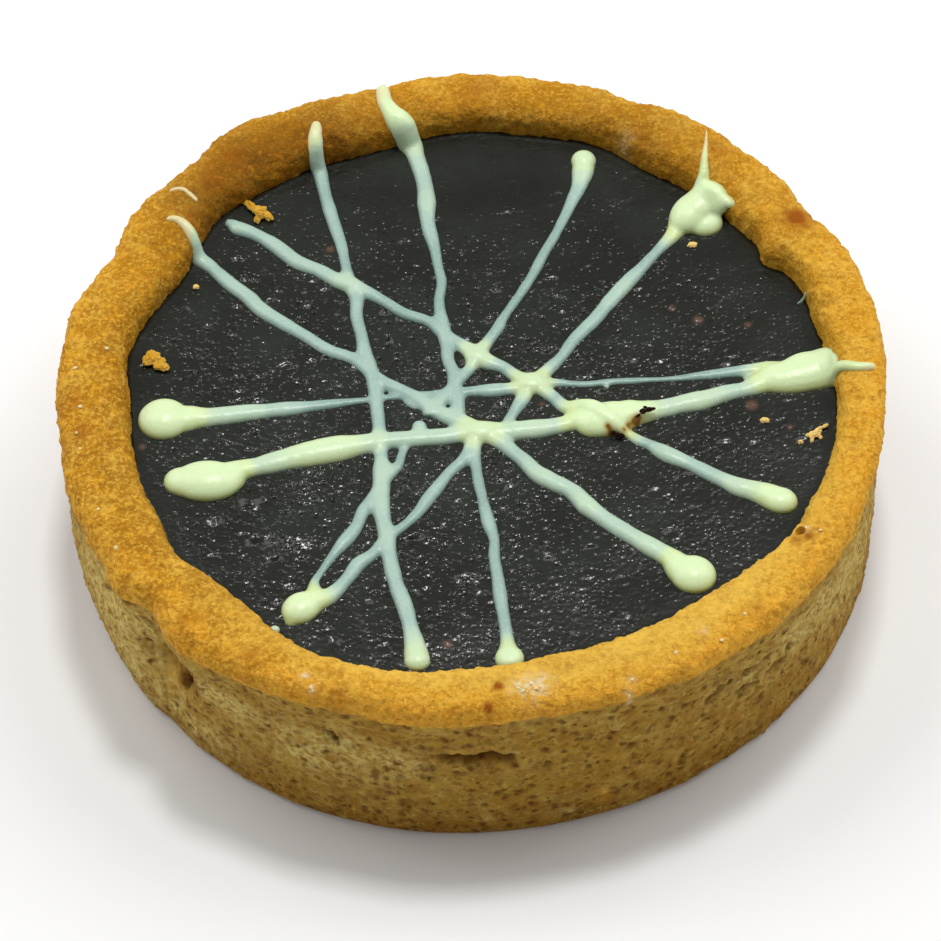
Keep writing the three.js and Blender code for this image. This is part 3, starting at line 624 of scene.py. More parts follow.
def shortcrust(colours):
    """Shortcrust pastry, rolled, pressed into a ring and baked: dry and crumbly, golden where the
    oven's air reached it, paler and full of small holes where it lay against the metal."""
    material, tree = new_tree("shortcrust pastry, baked")
    where = add_node(tree, "ShaderNodeTexCoord").outputs["Object"]
    read = marks_of(tree, "baked", "oven", "mottled", "fresh", "shoulder", "under", "painted_hole_shade", "pale",
                    "dusted", "burnt")
    flat = add_node(tree, "ShaderNodeMapping", {"Vector": where, "Scale": (1, 1, 1.15)})
    flat = flat.outputs["Vector"]
    grain = {name: span(tree, cloud(tree, place, size, roughness=0.55), low, high, most=most)
             for place, clouds in ((where, RIM_CLOUDS), (flat, WALL_CLOUDS))
             for name, size, low, high, most in clouds}

    # Small holes of the wall, up to 1 mm across and seldom quite round.
    warp = add_node(tree, "ShaderNodeTexNoise", {"Vector": flat, "Scale": 1 / (0.9 * MM)})
    warp = add_node(tree, "ShaderNodeVectorMath", {
        0: warp.outputs["Color"], 1: (0.7 * MM,) * 3, 2: flat}, operation="MULTIPLY_ADD")
    away, lot = cells_of(tree, warp.outputs["Vector"], 1.1)
    grain["wall spot"] = span(tree, maths(tree, "DIVIDE", away, lot), 0.6, 0.15, most=0.85)

    def share(first, second):
        return maths(tree, "MULTIPLY", first, second, clamp=True)

    # The wall is painted browner towards its foot, as painted shade near the floor, and painted
    # lighter close under the golden edge, as painted light against the shade of the rim's overhang.
    height = add_node(tree, "ShaderNodeSeparateXYZ", {"Vector": where}).outputs["Z"]
    foot = span(tree, height, 9 * MM, 0.0, most=0.5)
    wall = colours.wall
    for cover, colour_value in ((grain["wall patch"], colours.wall_light),
                                (grain["wall brown"], colours.wall_dark),
                                (foot, colours.wall_dark),
                                # painted light under the golden edge, against the overhang's shade
                                (share(read["under"], 0.25), colours.wall_light),
                                (grain["wall grain"], colours.wall_light),
                                (grain["wall rust"], colours.rust),
                                (grain["wall mark"], colours.pit),
                                (grain["wall spot"], colours.pit)):
        wall = layer(tree, cover, wall, colour_value)
    gold = colours.gold
    unburnt = maths(tree, "MULTIPLY_ADD", read["oven"], -1.0, 1.0)
    unfresh = maths(tree, "MULTIPLY_ADD", read["fresh"], -0.7, 1.0)
    for cover, colour_value in ((grain["light patch"], colours.gold_light),
                                (share(read["fresh"], 0.9), colours.gold_light),
                                # painted light on the front shoulder, which turns away from the
                                # light
                                (share(read["shoulder"], 0.8), colours.gold_painted_light),
                                # partly browning, partly painted shade on the rim's inner side
                                (share(read["oven"], 0.55), colours.gold_dark),
                                (share(grain["zone"], read["oven"]), colours.gold_dark),
                                (share(grain["patch"], read["mottled"]), colours.gold_dark),
                                (share(grain["toast"], read["mottled"]), colours.gold_dark),
                                (share(grain["patch"], 0.35), colours.gold_brown),
                                (share(grain["speck"], unfresh), colours.gold_brown),
                                (share(grain["grain"], unburnt), colours.gold_light)):
        gold = layer(tree, cover, gold, colour_value)
    skin = layer(tree, read["baked"], wall, gold)
    for cover, colour_value in ((share(read["pale"], grain["dust"]), colours.flour),
                                # painted shade: holes and cracks darker the deeper they are
                                (share(read["painted_hole_shade"], 0.85), colours.pit),
                                (read["burnt"], colours.burnt),
                                (share(read["dusted"], grain["dust"]), colours.sugar)):
        skin = layer(tree, cover, skin, colour_value)
    # The finest crumb, 0.3 to 0.7 mm, is left to the light.
    spots = add_node(tree, "ShaderNodeMix", {
        FACTOR: read["baked"], 2: grain["wall spot"], 3: share(grain["speck"], 0.3)})
    crumb = maths(tree, "MULTIPLY_ADD", spots.outputs[0], -0.8,
                  cloud(tree, where, 0.5, 4.0, 0.65))
    surface(tree, {
        "Base Color": skin, "Roughness": 0.8, "IOR": 1.45, "Specular IOR Level": 0.15,
        "Subsurface Weight": 0.12, "Subsurface Scale": 0.8 * MM,
        "Subsurface Radius": (1.0, 0.55, 0.25), "Normal": bumped(tree, crumb, 0.9, 0.3)})
    return material


def dark_ganache(colours):
    """Dark chocolate ganache, poured warm and set: near black, satin, with a fine broken skin of
    tiny burst bubbles that glint."""
    material, tree = new_tree("dark ganache, poured and set")
    where = add_node(tree, "ShaderNodeTexCoord").outputs["Object"]
    read = marks_of(tree, "broken", "spot")
    # Lighter patches are about 9 mm across; they and the broken skin are painted lighter as painted
    # sheen.
    patch = span(tree, cloud(tree, where, 9, 4.0, 0.6), 0.4, 0.7, most=0.5)
    cover = maths(tree, "MULTIPLY_ADD", read["broken"], 0.5, patch, clamp=True)
    skin = layer(tree, cover, colours.ganache, colours.ganache_painted_sheen)
    skin = layer(tree, read["spot"], skin, colours.fat)
    # Tiny bubbles have left round bumps and pits, 0.4 and 0.8 mm across, where the skin is broken,
    # in clusters some 3 mm across; the ripple between them is 0.45 mm.
    cluster = span(tree, cloud(tree, where, 3), 0.36, 0.62, 0.5, 1.4)
    bumps = 0.0
    for size, amount in ((0.8, 0.7), (0.42, 0.75)):
        away, lot = cells_of(tree, where, size)
        flank = maths(tree, "POWER", maths(tree, "MULTIPLY", away, 2.2), 2.0)
        dome = maths(tree, "SUBTRACT", 1.0, flank, clamp=True)
        part = maths(tree, "SUBTRACT", lot, 0.45)      # some cells rise, the others sink
        for factor in (dome, dome, read["broken"], cluster):
            part = maths(tree, "MULTIPLY", part, factor)
        bumps = maths(tree, "MULTIPLY_ADD", part, amount, bumps)
    # The pits are in their own shade.
    shade = maths(tree, "MULTIPLY", bumps, -7.0, clamp=True)
    skin = layer(tree, shade, skin, colours.ganache_deep)
    depth = span(tree, read["broken"], least=0.05, most=0.25)
    height = maths(tree, "MULTIPLY_ADD", cloud(tree, where, 0.45, 0.5), depth, bumps)
    surface(tree, {
        "Base Color": skin, "Roughness": span(tree, read["broken"], least=0.24, most=0.12),
        "IOR": 1.46, "Specular IOR Level": 0.34, "Normal": bumped(tree, height, 1.0, 0.34)})
    return material


def white_chocolate(colours):
    """White chocolate, melted and drizzled: smooth and satin, creamy where it lies thick, and thin
    enough in the fine strands for the dark ganache to show through as a cool grey."""
    material, tree = new_tree("white chocolate, drizzled")
    where = add_node(tree, "ShaderNodeTexCoord").outputs["Object"]
    read = marks_of(tree, "fullness", "rise", "stain", "pastry")
    # Thin places come and go every 3 mm or so; the finest mottling is 0.4 mm.
    uneven = maths(tree, "MULTIPLY_ADD", cloud(tree, where, 3), 0.3, read["fullness"])
    # Higher points get fuller, lighter colour: partly the thicker chocolate, partly a painted
    # highlight along the strands' tops.
    uneven = maths(tree, "MULTIPLY_ADD", read["rise"], 0.35, uneven)
    speckle = cloud(tree, where, 0.4, 1.0)
    thin = layer(tree, read["pastry"], colours.chocolate_thin, colours.chocolate_on_pastry)
    full = layer(tree, read["pastry"], colours.chocolate_strand, colours.chocolate)
    strand = layer(tree, span(tree, uneven, 0.2, 0.68), thin, full)
    strand = layer(tree, span(tree, speckle, 0.5, 0.7, most=0.3), strand, full)
    # A drop is darker and yellower towards its foot: partly its thin edge, partly painted shade.
    drop = layer(tree, span(tree, read["rise"], 0.0, 0.8), colours.chocolate_edge,
                 colours.chocolate)
    skin = layer(tree, span(tree, read["fullness"], 0.15, 0.85), strand, drop)
    # Where a strand thins to nothing what lies under it shows through.
    under = layer(tree, read["pastry"], colours.chocolate_film, thin)
    skin = layer(tree, span(tree, read["rise"], 0.4, -0.1, most=0.6), skin, under)
    skin = layer(tree, read["stain"], skin, colours.toffee)
    skin = layer(tree, span(tree, read["stain"], 0.75, 1.0, most=0.7), skin, colours.pit)
    surface(tree, {
        "Base Color": skin, "Roughness": 0.33, "IOR": 1.46, "Specular IOR Level": 0.45,
        "Subsurface Weight": 0.3, "Subsurface Scale": 0.8 * MM,
        "Subsurface Radius": (1.0, 1.0, 0.5), "Normal": bumped(tree, speckle, 0.5, 0.05)})
    return material


def broken_pastry(name, main, dark, size):
    """Crumb broken off baked pastry: grainy all over, with toasted specks."""
    material, tree = new_tree(name)
    where = add_node(tree, "ShaderNodeTexCoord").outputs["Object"]
    specks = cloud(tree, where, size, 3.0, 0.6)
    crust = marks_of(tree, "crust")["crust"]
    cover = span(tree, maths(tree, "MULTIPLY_ADD", specks, 1.2, crust), 0.55, 1.75)
    surface(tree, {
        "Base Color": layer(tree, cover, main, dark), "Roughness": 0.8, "IOR": 1.45,
        "Specular IOR Level": 0.15, "Normal": bumped(tree, specks, 0.7, 0.15)})
    return material


def sugar_grain(colours):
    """A grain of sugar that the dough didn't dissolve: clear enough to let light in."""
    material, tree = new_tree("sugar grain, undissolved")
    surface(tree, {
        "Base Color": opaque(colours.sugar), "Roughness": 0.5, "IOR": 1.5,
        "Subsurface Weight": 0.5, "Subsurface Scale": 0.4 * MM,
        "Subsurface Radius": (1.0, 0.7, 0.4)})
    return material


def matt_board(colours):
    """Matt white board: plain and pale, with hardly a shine."""
    material, tree = new_tree("matt white board")
    surface(tree, {
        "Base Color": opaque(colours.floor), "Roughness": 0.9, "Specular IOR Level": 0.1})
    return material


# ---------------------------------------------------------------- the case
COLUMNS = 960            # steps round the case
WALL_ROWS = 40
RIM_ROWS = 42
CRACK_RADIUS = 39.5      # where a crack's degrees are turned into mm
GOLD_OVERHANG = 0.18     # how far the golden edge stands out over the wall, in mm
RIM_FOOT = 18            # height in mm above which the rim's spots lie


def case_section(sizes):
    """Half of the case's section in mm, from the middle of the underside to that of the floor."""
    foot, rounding = sizes.foot_radius / MM, sizes.foot_rounding / MM
    wall, wall_top = sizes.wall_radius / MM, sizes.wall_top / MM
    outer, inner = sizes.rim_radius / MM, sizes.well_radius / MM
    low, high = sizes.fill_height / MM, sizes.rim_height / MM
    floor, bottom = sizes.floor_radius / MM, sizes.floor_height / MM
    section = [(0, 0)]
    section += [(foot - rounding * (1 - math.sin(turn)), rounding * (1 - math.cos(turn)))
                for turn in (0, math.pi / 4, math.pi / 2)]
    section += [(foot + (wall - foot) * i / WALL_ROWS,
                 rounding + (wall_top - rounding) * i / WALL_ROWS)
                for i in range(1, WALL_ROWS + 1)]
    turns = np.linspace(math.pi / 2, -math.pi / 2, 400)
    across, up = np.sin(turns), np.maximum(np.cos(turns), 0)
    power = np.where(across > 0, 2 / RIM_OUTSIDE, 2 / RIM_INSIDE)
    over = np.column_stack([
        (outer + inner) / 2 + (outer - inner) / 2 * np.sign(across) * np.abs(across) ** power,
        low + (high - low) * up ** power])
    over = np.vstack([[wall, wall_top], over])
    run = np.concatenate([[0], np.cumsum(np.hypot(*np.diff(over, axis=0).T))])
    at = np.linspace(0, run[-1], RIM_ROWS + 1)[1:]
    section += list(zip(np.interp(at, run, over[:, 0]), np.interp(at, run, over[:, 1])))
    section += [(inner - 0.03, low - 0.7), (floor, bottom), (0, bottom)]
    return np.array(section)


def crack_depth(angles, heights, path, half, depth):
    """Depth of one crack at each place of the wall, from its distance to the crack's path."""
    around = CRACK_RADIUS * DEGREE
    place = np.column_stack([((angles - path[0][0] + 540) % 360 - 180) * around, heights])
    nearest = np.full(len(place), 1e9)
    for (a0, z0), (a1, z1) in zip(path, path[1:]):
        start = np.array([(a0 - path[0][0]) * around, z0])
        along = np.array([(a1 - a0) * around, z1 - z0])
        share = np.clip((place - start) @ along / (along @ along), 0, 1)
        gap = np.linalg.norm(place - start - share[:, None] * along, axis=1)
        nearest = np.minimum(nearest, gap)
    return depth * np.exp(-(nearest / half) ** 2)


class TART_OT_case(bpy.types.Operator):
    """Spin the case's section round, press it uneven and give it its crumb"""
    bl_idname = "tart.case"
    bl_label = "Shortcrust case"

    def execute(self, context):
        sizes, colours = context.scene.tart_sizes, context.scene.tart_colours
        section = case_section(sizes)
        deselect()
        bpy.ops.mesh.primitive_circle_add(vertices=len(section), radius=sizes.rim_radius)
        case = context.object
        put_points(case, np.column_stack([section[:, 0], np.zeros(len(section)), section[:, 1]]))
        choose(case, section[:, 0] == 0)          # the side that lies on the axis
        bpy.ops.mesh.delete(type="EDGE")
        bpy.ops.mesh.select_all(action="SELECT")
        bpy.ops.mesh.spin(steps=COLUMNS, angle=math.tau, center=(0, 0, 0), axis=(0, 0, 1))
        bpy.ops.mesh.select_all(action="SELECT")
        bpy.ops.mesh.remove_doubles(threshold=MM / 100)
        face_out()
        self.press(case, sizes)
        self.crumble(case, sizes)
        finish_piece(case, "shortcrust_case", shortcrust(colours), "shortcrust", "crust")
        return {"FINISHED"}

    def press(self, case, sizes):
        """Move the round case's points to their places in the uneven one."""
        points = points_of(case)
        radii, angles = round_the_tart(points)
        heights = points[:, 2]
        low, high = sizes.fill_height / MM, sizes.rim_height / MM
        inner, outer = sizes.well_radius / MM, sizes.rim_radius / MM
        outward = np.clip((radii - inner) / (outer - inner), 0, 1)
        foot = (sizes.foot_radius - sizes.foot_rounding) / MM
        on_wall = (radii > foot) & (heights < high - 1)
        left = 0.25 + 0.75 * step(4, 17, heights)
        move = (1 - outward) * bulge(INNER_BULGES, angles)
        move += outward * left * bulge(OUTER_BULGES, angles)
        dents = np.zeros(len(points))
        for middle, half, depth in WALL_DENTS:
            up = (heights - middle[1]) / half[1]
            dents += bulge([(middle[0], half[0], depth)], angles) * np.exp(-up ** 2)
        move -= on_wall * np.minimum(heights / 2, 1) * dents
        move[radii < 1] = 0
        points[:, :2] *= ((radii + move) / np.maximum(radii, 1))[:, None]
        points[:, 2] += crest_wave(angles) * np.clip((heights - low) / (high - low), 0, 1)
        put_points(case, points)

    def crumble(self, case, sizes):
        """Cut the holes and cracks, raise the grain and note where each finish belongs, with the
        painted shade in the holes and on the rim's inner side and the painted light under the
        golden edge and on the front shoulder.
        """
        points = points_of(case)
        radii, angles = round_the_tart(points)
        heights = points[:, 2]
        middle = (sizes.rim_radius + sizes.well_radius) / MM / 2
        edge = sizes.gold_edge / MM + 0.35 * lumps(points, 6) + 0.3 * lumps(points, 1.6, shift=5)
        outside = step(middle - 0.5, middle + 0.5, radii) * (heights > 0.2)
        toasted = self.places(TOASTED_PLACES, angles, heights)
        baked = 1 - outside * (1 - step(-0.45, 0.3, heights - edge))
        wall = outside * (1 - baked)
        flat = (1, 1, 1.35)                    # the wall's marks lie a little flat, as rolled dough
        hollow = wall * self.places(HOLLOW_PLACES, angles, heights)
        craggy = 1 + 2.0 * self.places(CRAGGY_PLACES, angles, heights)
        cut = np.zeros(len(points))
        for path, half, depth in WALL_CRACKS:
            cut += crack_depth(angles, heights, path, half, depth)
        for angle, up, half, depth in WALL_PITS:
            cut += crack_depth(angles, heights, [(angle, up), (angle + 0.3, up)], half, depth)
        big = holes(points, 1.9, 0.4, flat, widest=0.34)
        small = holes(points, 0.95, 0.5, flat, 11, 0.4)
        tops = holes(points, 2.2, 0.3, shift=23, widest=0.26)
        sunk = wall * (0.26 * big + 0.13 * small) + outside * cut + 0.12 * baked * tops
        sunk += wall * GOLD_OVERHANG * step(-1.6, -0.2, heights - edge)
        relief = sizes.crumb_relief / MM
        raised = relief * (0.9 * lumps(points, 3.4, shift=3) + 0.8 * lumps(points, 1.4, shift=7))
        raised += wall * craggy * relief * (0.5 * lumps(points, 0.8, flat, 9)
                                            + 0.6 * lumps(points, 2.1, flat, 19))
        raised += hollow * (1.2 * lumps(points, 1.8, shift=31) - 0.4)
        visible = step(sizes.fill_height / MM - 1.5, sizes.fill_height / MM - 0.5, heights)
        visible = np.maximum(visible, outside) * step(0, 1, heights)
        points += normals_of(case) * ((raised - sunk) * visible)[:, None]
        put_points(case, points)
        crumb = case.vertex_groups.new(name="crumb")
        for tenth in range(1, 11):
            members = np.nonzero(np.round(visible * 10) == tenth)[0]
            crumb.add(members.tolist(), tenth / 10, "REPLACE")
        roughen(case, 0.8, relief * 2.2, "crumb")
        roughen(case, 0.45, relief * 1.5, "crumb")
        pale = self.places(PALE_PLACES, angles, heights) * (0.65 + 0.7 * lumps(points, 1.5))
        mark(case, "baked", np.clip(baked + 0.75 * toasted, 0, 1))
        # The rim's inner side, facing away from the light, gets more of this darkening: painted
        # shade.
        outer_share = np.clip((radii - middle) / 3, -1, 1)
        oven = (0.1 + bulge(HOT_PLACES, angles)) * (1 - 0.55 * outer_share)
        mark(case, "oven", np.clip(oven, 0, 1))
        mark(case, "mottled", np.clip(0.8 * oven + bulge(MOTTLED_PLACES, angles), 0, 1))
        inner_half, brink = step(0.6, -1.6, radii - middle), step(0.8, 2.4, radii - middle)
        front = bulge(FRONT_PLACES, angles)
        mark(case, "fresh", baked * np.clip(
            bulge(FRESH_PLACES, angles) * (0.5 + 0.5 * inner_half) * (1 - 0.6 * brink)
            + 0.8 * front * inner_half, 0, 1))
        # Painted light: the rim's front shoulder, turned away from the light, is marked to be
        # painted brighter.
        mark(case, "shoulder", baked * front * brink)
        # Painted light: the wall close under the golden edge is marked to be painted lighter,
        # against the shade of the overhang.
        mark(case, "under", wall * step(-2.4, -0.8, heights - edge))
        # Painted shade: holes, cracks and the broken hollow are marked darker the deeper they are.
        mark(case, "painted_hole_shade", np.clip(
            wall * (0.7 * big + 0.35 * small) + outside * cut * 2.2 + 0.3 * baked * tops
            + 0.1 * hollow, 0, 1))
        mark(case, "pale", np.clip(1.5 * pale * wall, 0, 1))
        mark(case, "dusted", self.spots(DUSTED_SPOTS, points, 1))
        ragged = 1 + 0.35 * lumps(points, 1.1, shift=41)
        mark(case, "burnt", self.spots(BROWN_SPOTS, points, ragged))

    def spots(self, spots, points, ragged):
        """Round spots of the rim, 0 to 1; ragged stretches the distances to make uneven edges."""
        total = np.zeros(len(points))
        for angle, radius, size, amount in spots:
            middle = np.array([math.cos(angle * DEGREE), math.sin(angle * DEGREE)]) * radius
            away = np.hypot(*(points[:, :2] - middle).T) * ragged
            total += amount * np.exp(-(away / size) ** 2) * (points[:, 2] > RIM_FOOT)
        return np.clip(total, 0, 1)

    def places(self, ovals, angles, heights):
        """Sum of soft oval places on the wall, each 1 at its middle."""
        total = np.zeros(len(angles))
        for (angle, up), (half_angle, half_up) in ovals:
            total += bulge([(angle, half_angle, 1)], angles) * np.exp(
                -((heights - up) / half_up) ** 2)
        return total


# ---------------------------------------------------------------- the ganache
GANACHE_CELLS = 356      # cells across the ganache
GANACHE_DEPTH = 1.2      # how deep its hidden edge goes, in mm
GANACHE_LAP = 0.15       # how far it reaches into the pastry, in mm
BROKEN_PLACE = (-5, -4, 24)        # x, y and size in mm of where its skin is most broken
# Burst bubbles and swellings of the ganache: x, y, size and height in mm.
GANACHE_MARKS = [
    (-20.65, -17.3, 0.8, -0.45), (-19.1, -19.1, 0.6, -0.35), (-17.1, -16.5, 1.3, 0.3),
    (-21.4, -11.9, 0.9, 0.3), (-1.4, -21.8, 0.9, 0.25), (-24.6, -14.6, 0.6, -0.3),
]
# Spots on the ganache: x, y, size in mm.
GANACHE_SPOTS = [
    (19.95, 9.45, 0.35), (22.4, 7.8, 0.5), (27.2, 6.9, 0.35), (26.8, -3.1, 0.6),
    (-13.4, 18.85, 0.4), (-31.7, -5.0, 0.35), (-3.2, -29.65, 0.45), (30.2, -6.0, 0.3),
    (6.7, -1.84, 0.25),
]


class TART_OT_ganache(bpy.types.Operator):
    """Pour the ganache into the well: a fine sheet cut to the well's outline"""
    bl_idname = "tart.ganache"
    bl_label = "Ganache"

    def execute(self, context):
        sizes, colours = context.scene.tart_sizes, context.scene.tart_colours
        deselect()
        bpy.ops.mesh.primitive_grid_add(
            x_subdivisions=GANACHE_CELLS, y_subdivisions=GANACHE_CELLS,
            size=2 * (sizes.well_radius + 2.5 * MM), location=(0, 0, sizes.fill_height))
        ganache = context.object
        bpy.ops.object.transform_apply(location=True, rotation=True, scale=True)
        points = points_of(ganache)
        radii, angles = round_the_tart(points)
        wall = well_edge(sizes, angles) + GANACHE_LAP
        choose(ganache, radii > wall - 0.1)
        bpy.ops.mesh.delete(type="VERT")
        bpy.ops.mesh.select_all(action="SELECT")
        bpy.ops.mesh.region_to_loop()
        bpy.ops.object.mode_set(mode="OBJECT")
        edge = np.zeros(len(ganache.data.vertices), dtype=bool)
        ganache.data.vertices.foreach_get("select", edge)
        points = points_of(ganache)
        radii, angles = round_the_tart(points)
        wall = well_edge(sizes, angles) + GANACHE_LAP
        points[edge, :2] *= (wall / radii)[edge, None]
        points[:, 2] += self.skin(points, wall - radii, sizes) * ~edge
        put_points(ganache, points)
        mark(ganache, "broken", self.broken(points, wall - radii))
        spot = np.zeros(len(points))
        for x, y, size in GANACHE_SPOTS:
            spot += near(points, x, y, size, 4)
        mark(ganache, "spot", spot)
        bpy.ops.object.mode_set(mode="EDIT")
        bpy.ops.mesh.select_mode(type="EDGE")
        bpy.ops.mesh.select_all(action="SELECT")
        bpy.ops.mesh.region_to_loop()
        bpy.ops.mesh.extrude_edges_move(
            TRANSFORM_OT_translate={"value": (0, 0, -GANACHE_DEPTH * MM)})
        bpy.ops.mesh.edge_face_add()
        face_out()
        finish_piece(ganache, "dark_ganache", dark_ganache(colours), "ganache", "filling")
        return {"FINISHED"}

    def broken(self, points, from_wall):
        """Where the skin is broken by burst bubbles: most in the middle and to the left."""
        middle = near(points, *BROKEN_PLACE)
        patch = 0.5 + 0.5 * lumps(points, 11, shift=2) + 0.25 * lumps(points, 4, shift=4)
        calm = np.exp(-((points[:, 0] - 2) / 13) ** 2 - ((points[:, 1] - 27) / 10) ** 2)
        return np.clip((0.25 + 0.75 * middle) * (0.55 + 0.6 * patch), 0.1, 1) * step(
            0, 2.5, from_wall) * (1 - 0.65 * calm)

    def skin(self, points, from_wall, sizes):
        """Height of the ganache over its level, in mm."""
        broken = self.broken(points, from_wall)
        relief = sizes.ganache_relief / MM
        height = 0.14 * lumps(points, 9, shift=6) + 0.06 * lumps(points, 4, shift=8)
        height += relief * broken * 0.7 * np.maximum(lumps(points, 2.2, shift=1), 0)
        warped = points + 0.4 * np.column_stack([
            lumps(points, 0.9, shift=51), lumps(points, 0.9, shift=61), np.zeros(len(points))])
        height -= relief * broken * 2.4 * holes(warped, 2.3, 0.35, (1, 1.3, 1), 3, 0.3)
        height -= relief * broken * 1.5 * holes(warped, 1.3, 0.4, (1, 1.3, 1), 17, 0.36)
        for x, y, size, amount in GANACHE_MARKS:
            away = np.hypot(warped[:, 0] - x, 1.3 * (warped[:, 1] - y)) / size
            height += amount * np.exp(-away ** 2)
        return height + 0.09 * np.exp(-(from_wall / 0.6) ** 2)


# ---------------------------------------------------------------- the drizzle
def smooth_run(points, seed):
    """Points every STRAND_STEP mm along a smooth line through the given ones, a little unsteady
    in place and width, as poured chocolate is."""
    given = np.array(points, dtype=float)
    padded = np.vstack([2 * given[0] - given[1], given, 2 * given[-1] - given[-2]])
    run = []
    for before, start, end, after in zip(padded, padded[1:], padded[2:], padded[3:]):
        parts = max(1, round(math.dist(start[:2], end[:2]) / STRAND_STEP))
        for share in (k / parts for k in range(parts)):
            run.append(0.5 * (2 * start + (end - before) * share
                              + (2 * before - 5 * start + 4 * end - after) * share ** 2
                              + (3 * start - before - 3 * end + after) * share ** 3))
    run = np.array(run + [given[-1]])
    along = np.column_stack([np.arange(len(run)) * STRAND_STEP, np.full(len(run), seed * 7.3),
                             np.zeros(len(run))])
    run[:, 0] += 0.06 * lumps(along, 2.6)
    run[:, 1] += 0.06 * lumps(along, 2.3, shift=40)
    run[:, 2] *= 1 + 0.09 * lumps(along, 2.2, shift=80) + 0.07 * lumps(along, 0.9, shift=120)
    return run


class TART_OT_drizzle(bpy.types.Operator):
    """Draw the strands and drops, melt them into one body and cut off what lies hidden"""
    bl_idname = "tart.drizzle"
    bl_label = "White chocolate drizzle"

    def execute(self, context):
        sizes, colours = context.scene.tart_sizes, context.scene.tart_colours
        low = sizes.fill_height / MM
        deselect()
        curve = bpy.data.curves.new("drizzle", "CURVE")
        curve.dimensions = "3D"
        curve.bevel_depth = MM
        curve.bevel_resolution = 7
        curve.use_fill_caps = True
        runs = []
        for seed, (name, points) in enumerate({**STRANDS, **RIM_STRANDS}.items()):
            run = smooth_run(points, seed)
            heights = np.full(len(run), low)
            if name in RIM_STRANDS:
                heights = top_height(sizes, run[:, 0], run[:, 1])
                heights = np.convolve(np.pad(heights, 1, mode="edge"), (0.25, 0.5, 0.25), "valid")
            if name in CROSSINGS:
                x, y, size, lift = CROSSINGS[name]
                heights = heights + lift * near(run, x, y, size, 4)
            heights = heights - STRAND_SINK * run[:, 2]
            spline = curve.splines.new("POLY")
            spline.points.add(len(run) - 1)
            spline.points.foreach_set("co", np.column_stack([
                run[:, :2] * MM, heights * MM, np.ones(len(run))]).ravel())
            spline.points.foreach_set("radius", run[:, 2] / 2)
            runs.append(run)
        strands = bpy.data.objects.new("drizzle", curve)
        context.collection.objects.link(strands)
        take(strands)
        bpy.ops.object.convert(target="MESH")
        drops = []
        for (x, y, lift), half, turn in DROPS + WEBS:
            bpy.ops.mesh.primitive_ico_sphere_add(
                subdivisions=4, radius=MM, location=(x * MM, y * MM, (low + lift) * MM),
                rotation=(0, 0, turn * DEGREE), scale=half)
            drops.append(context.object)
        for (x, y, lift), half, turn in DROPS:
            reach = (half[0] - half[1]) * np.linspace(-0.7, 0.7, 5)
            runs.append(np.column_stack([
                x + reach * math.cos(turn * DEGREE), y + reach * math.sin(turn * DEGREE),
                np.full(5, 2.4 * min(half[:2]) + lift)]))
        take(strands, *drops)
        bpy.ops.object.join()
        drizzle = context.object
        bpy.ops.object.transform_apply(location=True, rotation=True, scale=True)
        apply_modifier(drizzle, "REMESH", mode="VOXEL", voxel_size=DRIZZLE_VOXEL * MM)
        apply_modifier(drizzle, "SMOOTH", factor=0.5, iterations=14)
        points = points_of(drizzle)
        radii, angles = round_the_tart(points)
        well = well_edge(sizes, angles)
        on_ganache = step(0, 1.5, well - radii)
        points[:, 2] -= on_ganache * (1 - DRIZZLE_FLATNESS) * np.maximum(points[:, 2] - low, 0)
        put_points(drizzle, points)
        bpy.ops.object.mode_set(mode="EDIT")
        bpy.ops.mesh.select_all(action="SELECT")
        bpy.ops.mesh.bisect(plane_co=(0, 0, (low - DRIZZLE_CUT) * MM), plane_no=(0, 0, 1),
                            clear_inner=True, use_fill=False, threshold=MM / 1000)
        bpy.ops.mesh.fill(use_beauty=False)
        face_out()
        points = points_of(drizzle)
        radii, angles = round_the_tart(points)
        well = well_edge(sizes, angles)
        mark(drizzle, "fullness", self.fullness(points, runs))
        mark(drizzle, "rise", points[:, 2] - top_height(sizes, points[:, 0], points[:, 1]))
        mark(drizzle, "pastry", step(-0.5, 0.8, radii - well))
        stain = np.zeros(len(points))
        for x, y, size in STAINS:
            stain += near(points, x, y, size)
        stain *= 1 + 0.8 * lumps(points, 0.7)
        mark(drizzle, "stain", np.clip(stain, 0, 1))
        finish_piece(drizzle, "white_chocolate_drizzle", white_chocolate(colours),
                     "white_chocolate", "filling", "crust")
        return {"FINISHED"}

    def fullness(self, points, runs):
        """How much chocolate there is at each point, 0 in the thinnest strands to 1 in a drop."""
        samples = np.vstack(runs)
        most = np.zeros(len(points))
        for x, y, width in samples[samples[:, 2] > 0.6]:
            away = np.hypot(points[:, 0] - x, points[:, 1] - y)
            most = np.maximum(most, width * np.exp(-np.maximum(away - width / 2, 0) / 1.9))
        return step(0.8, 4.6, most)


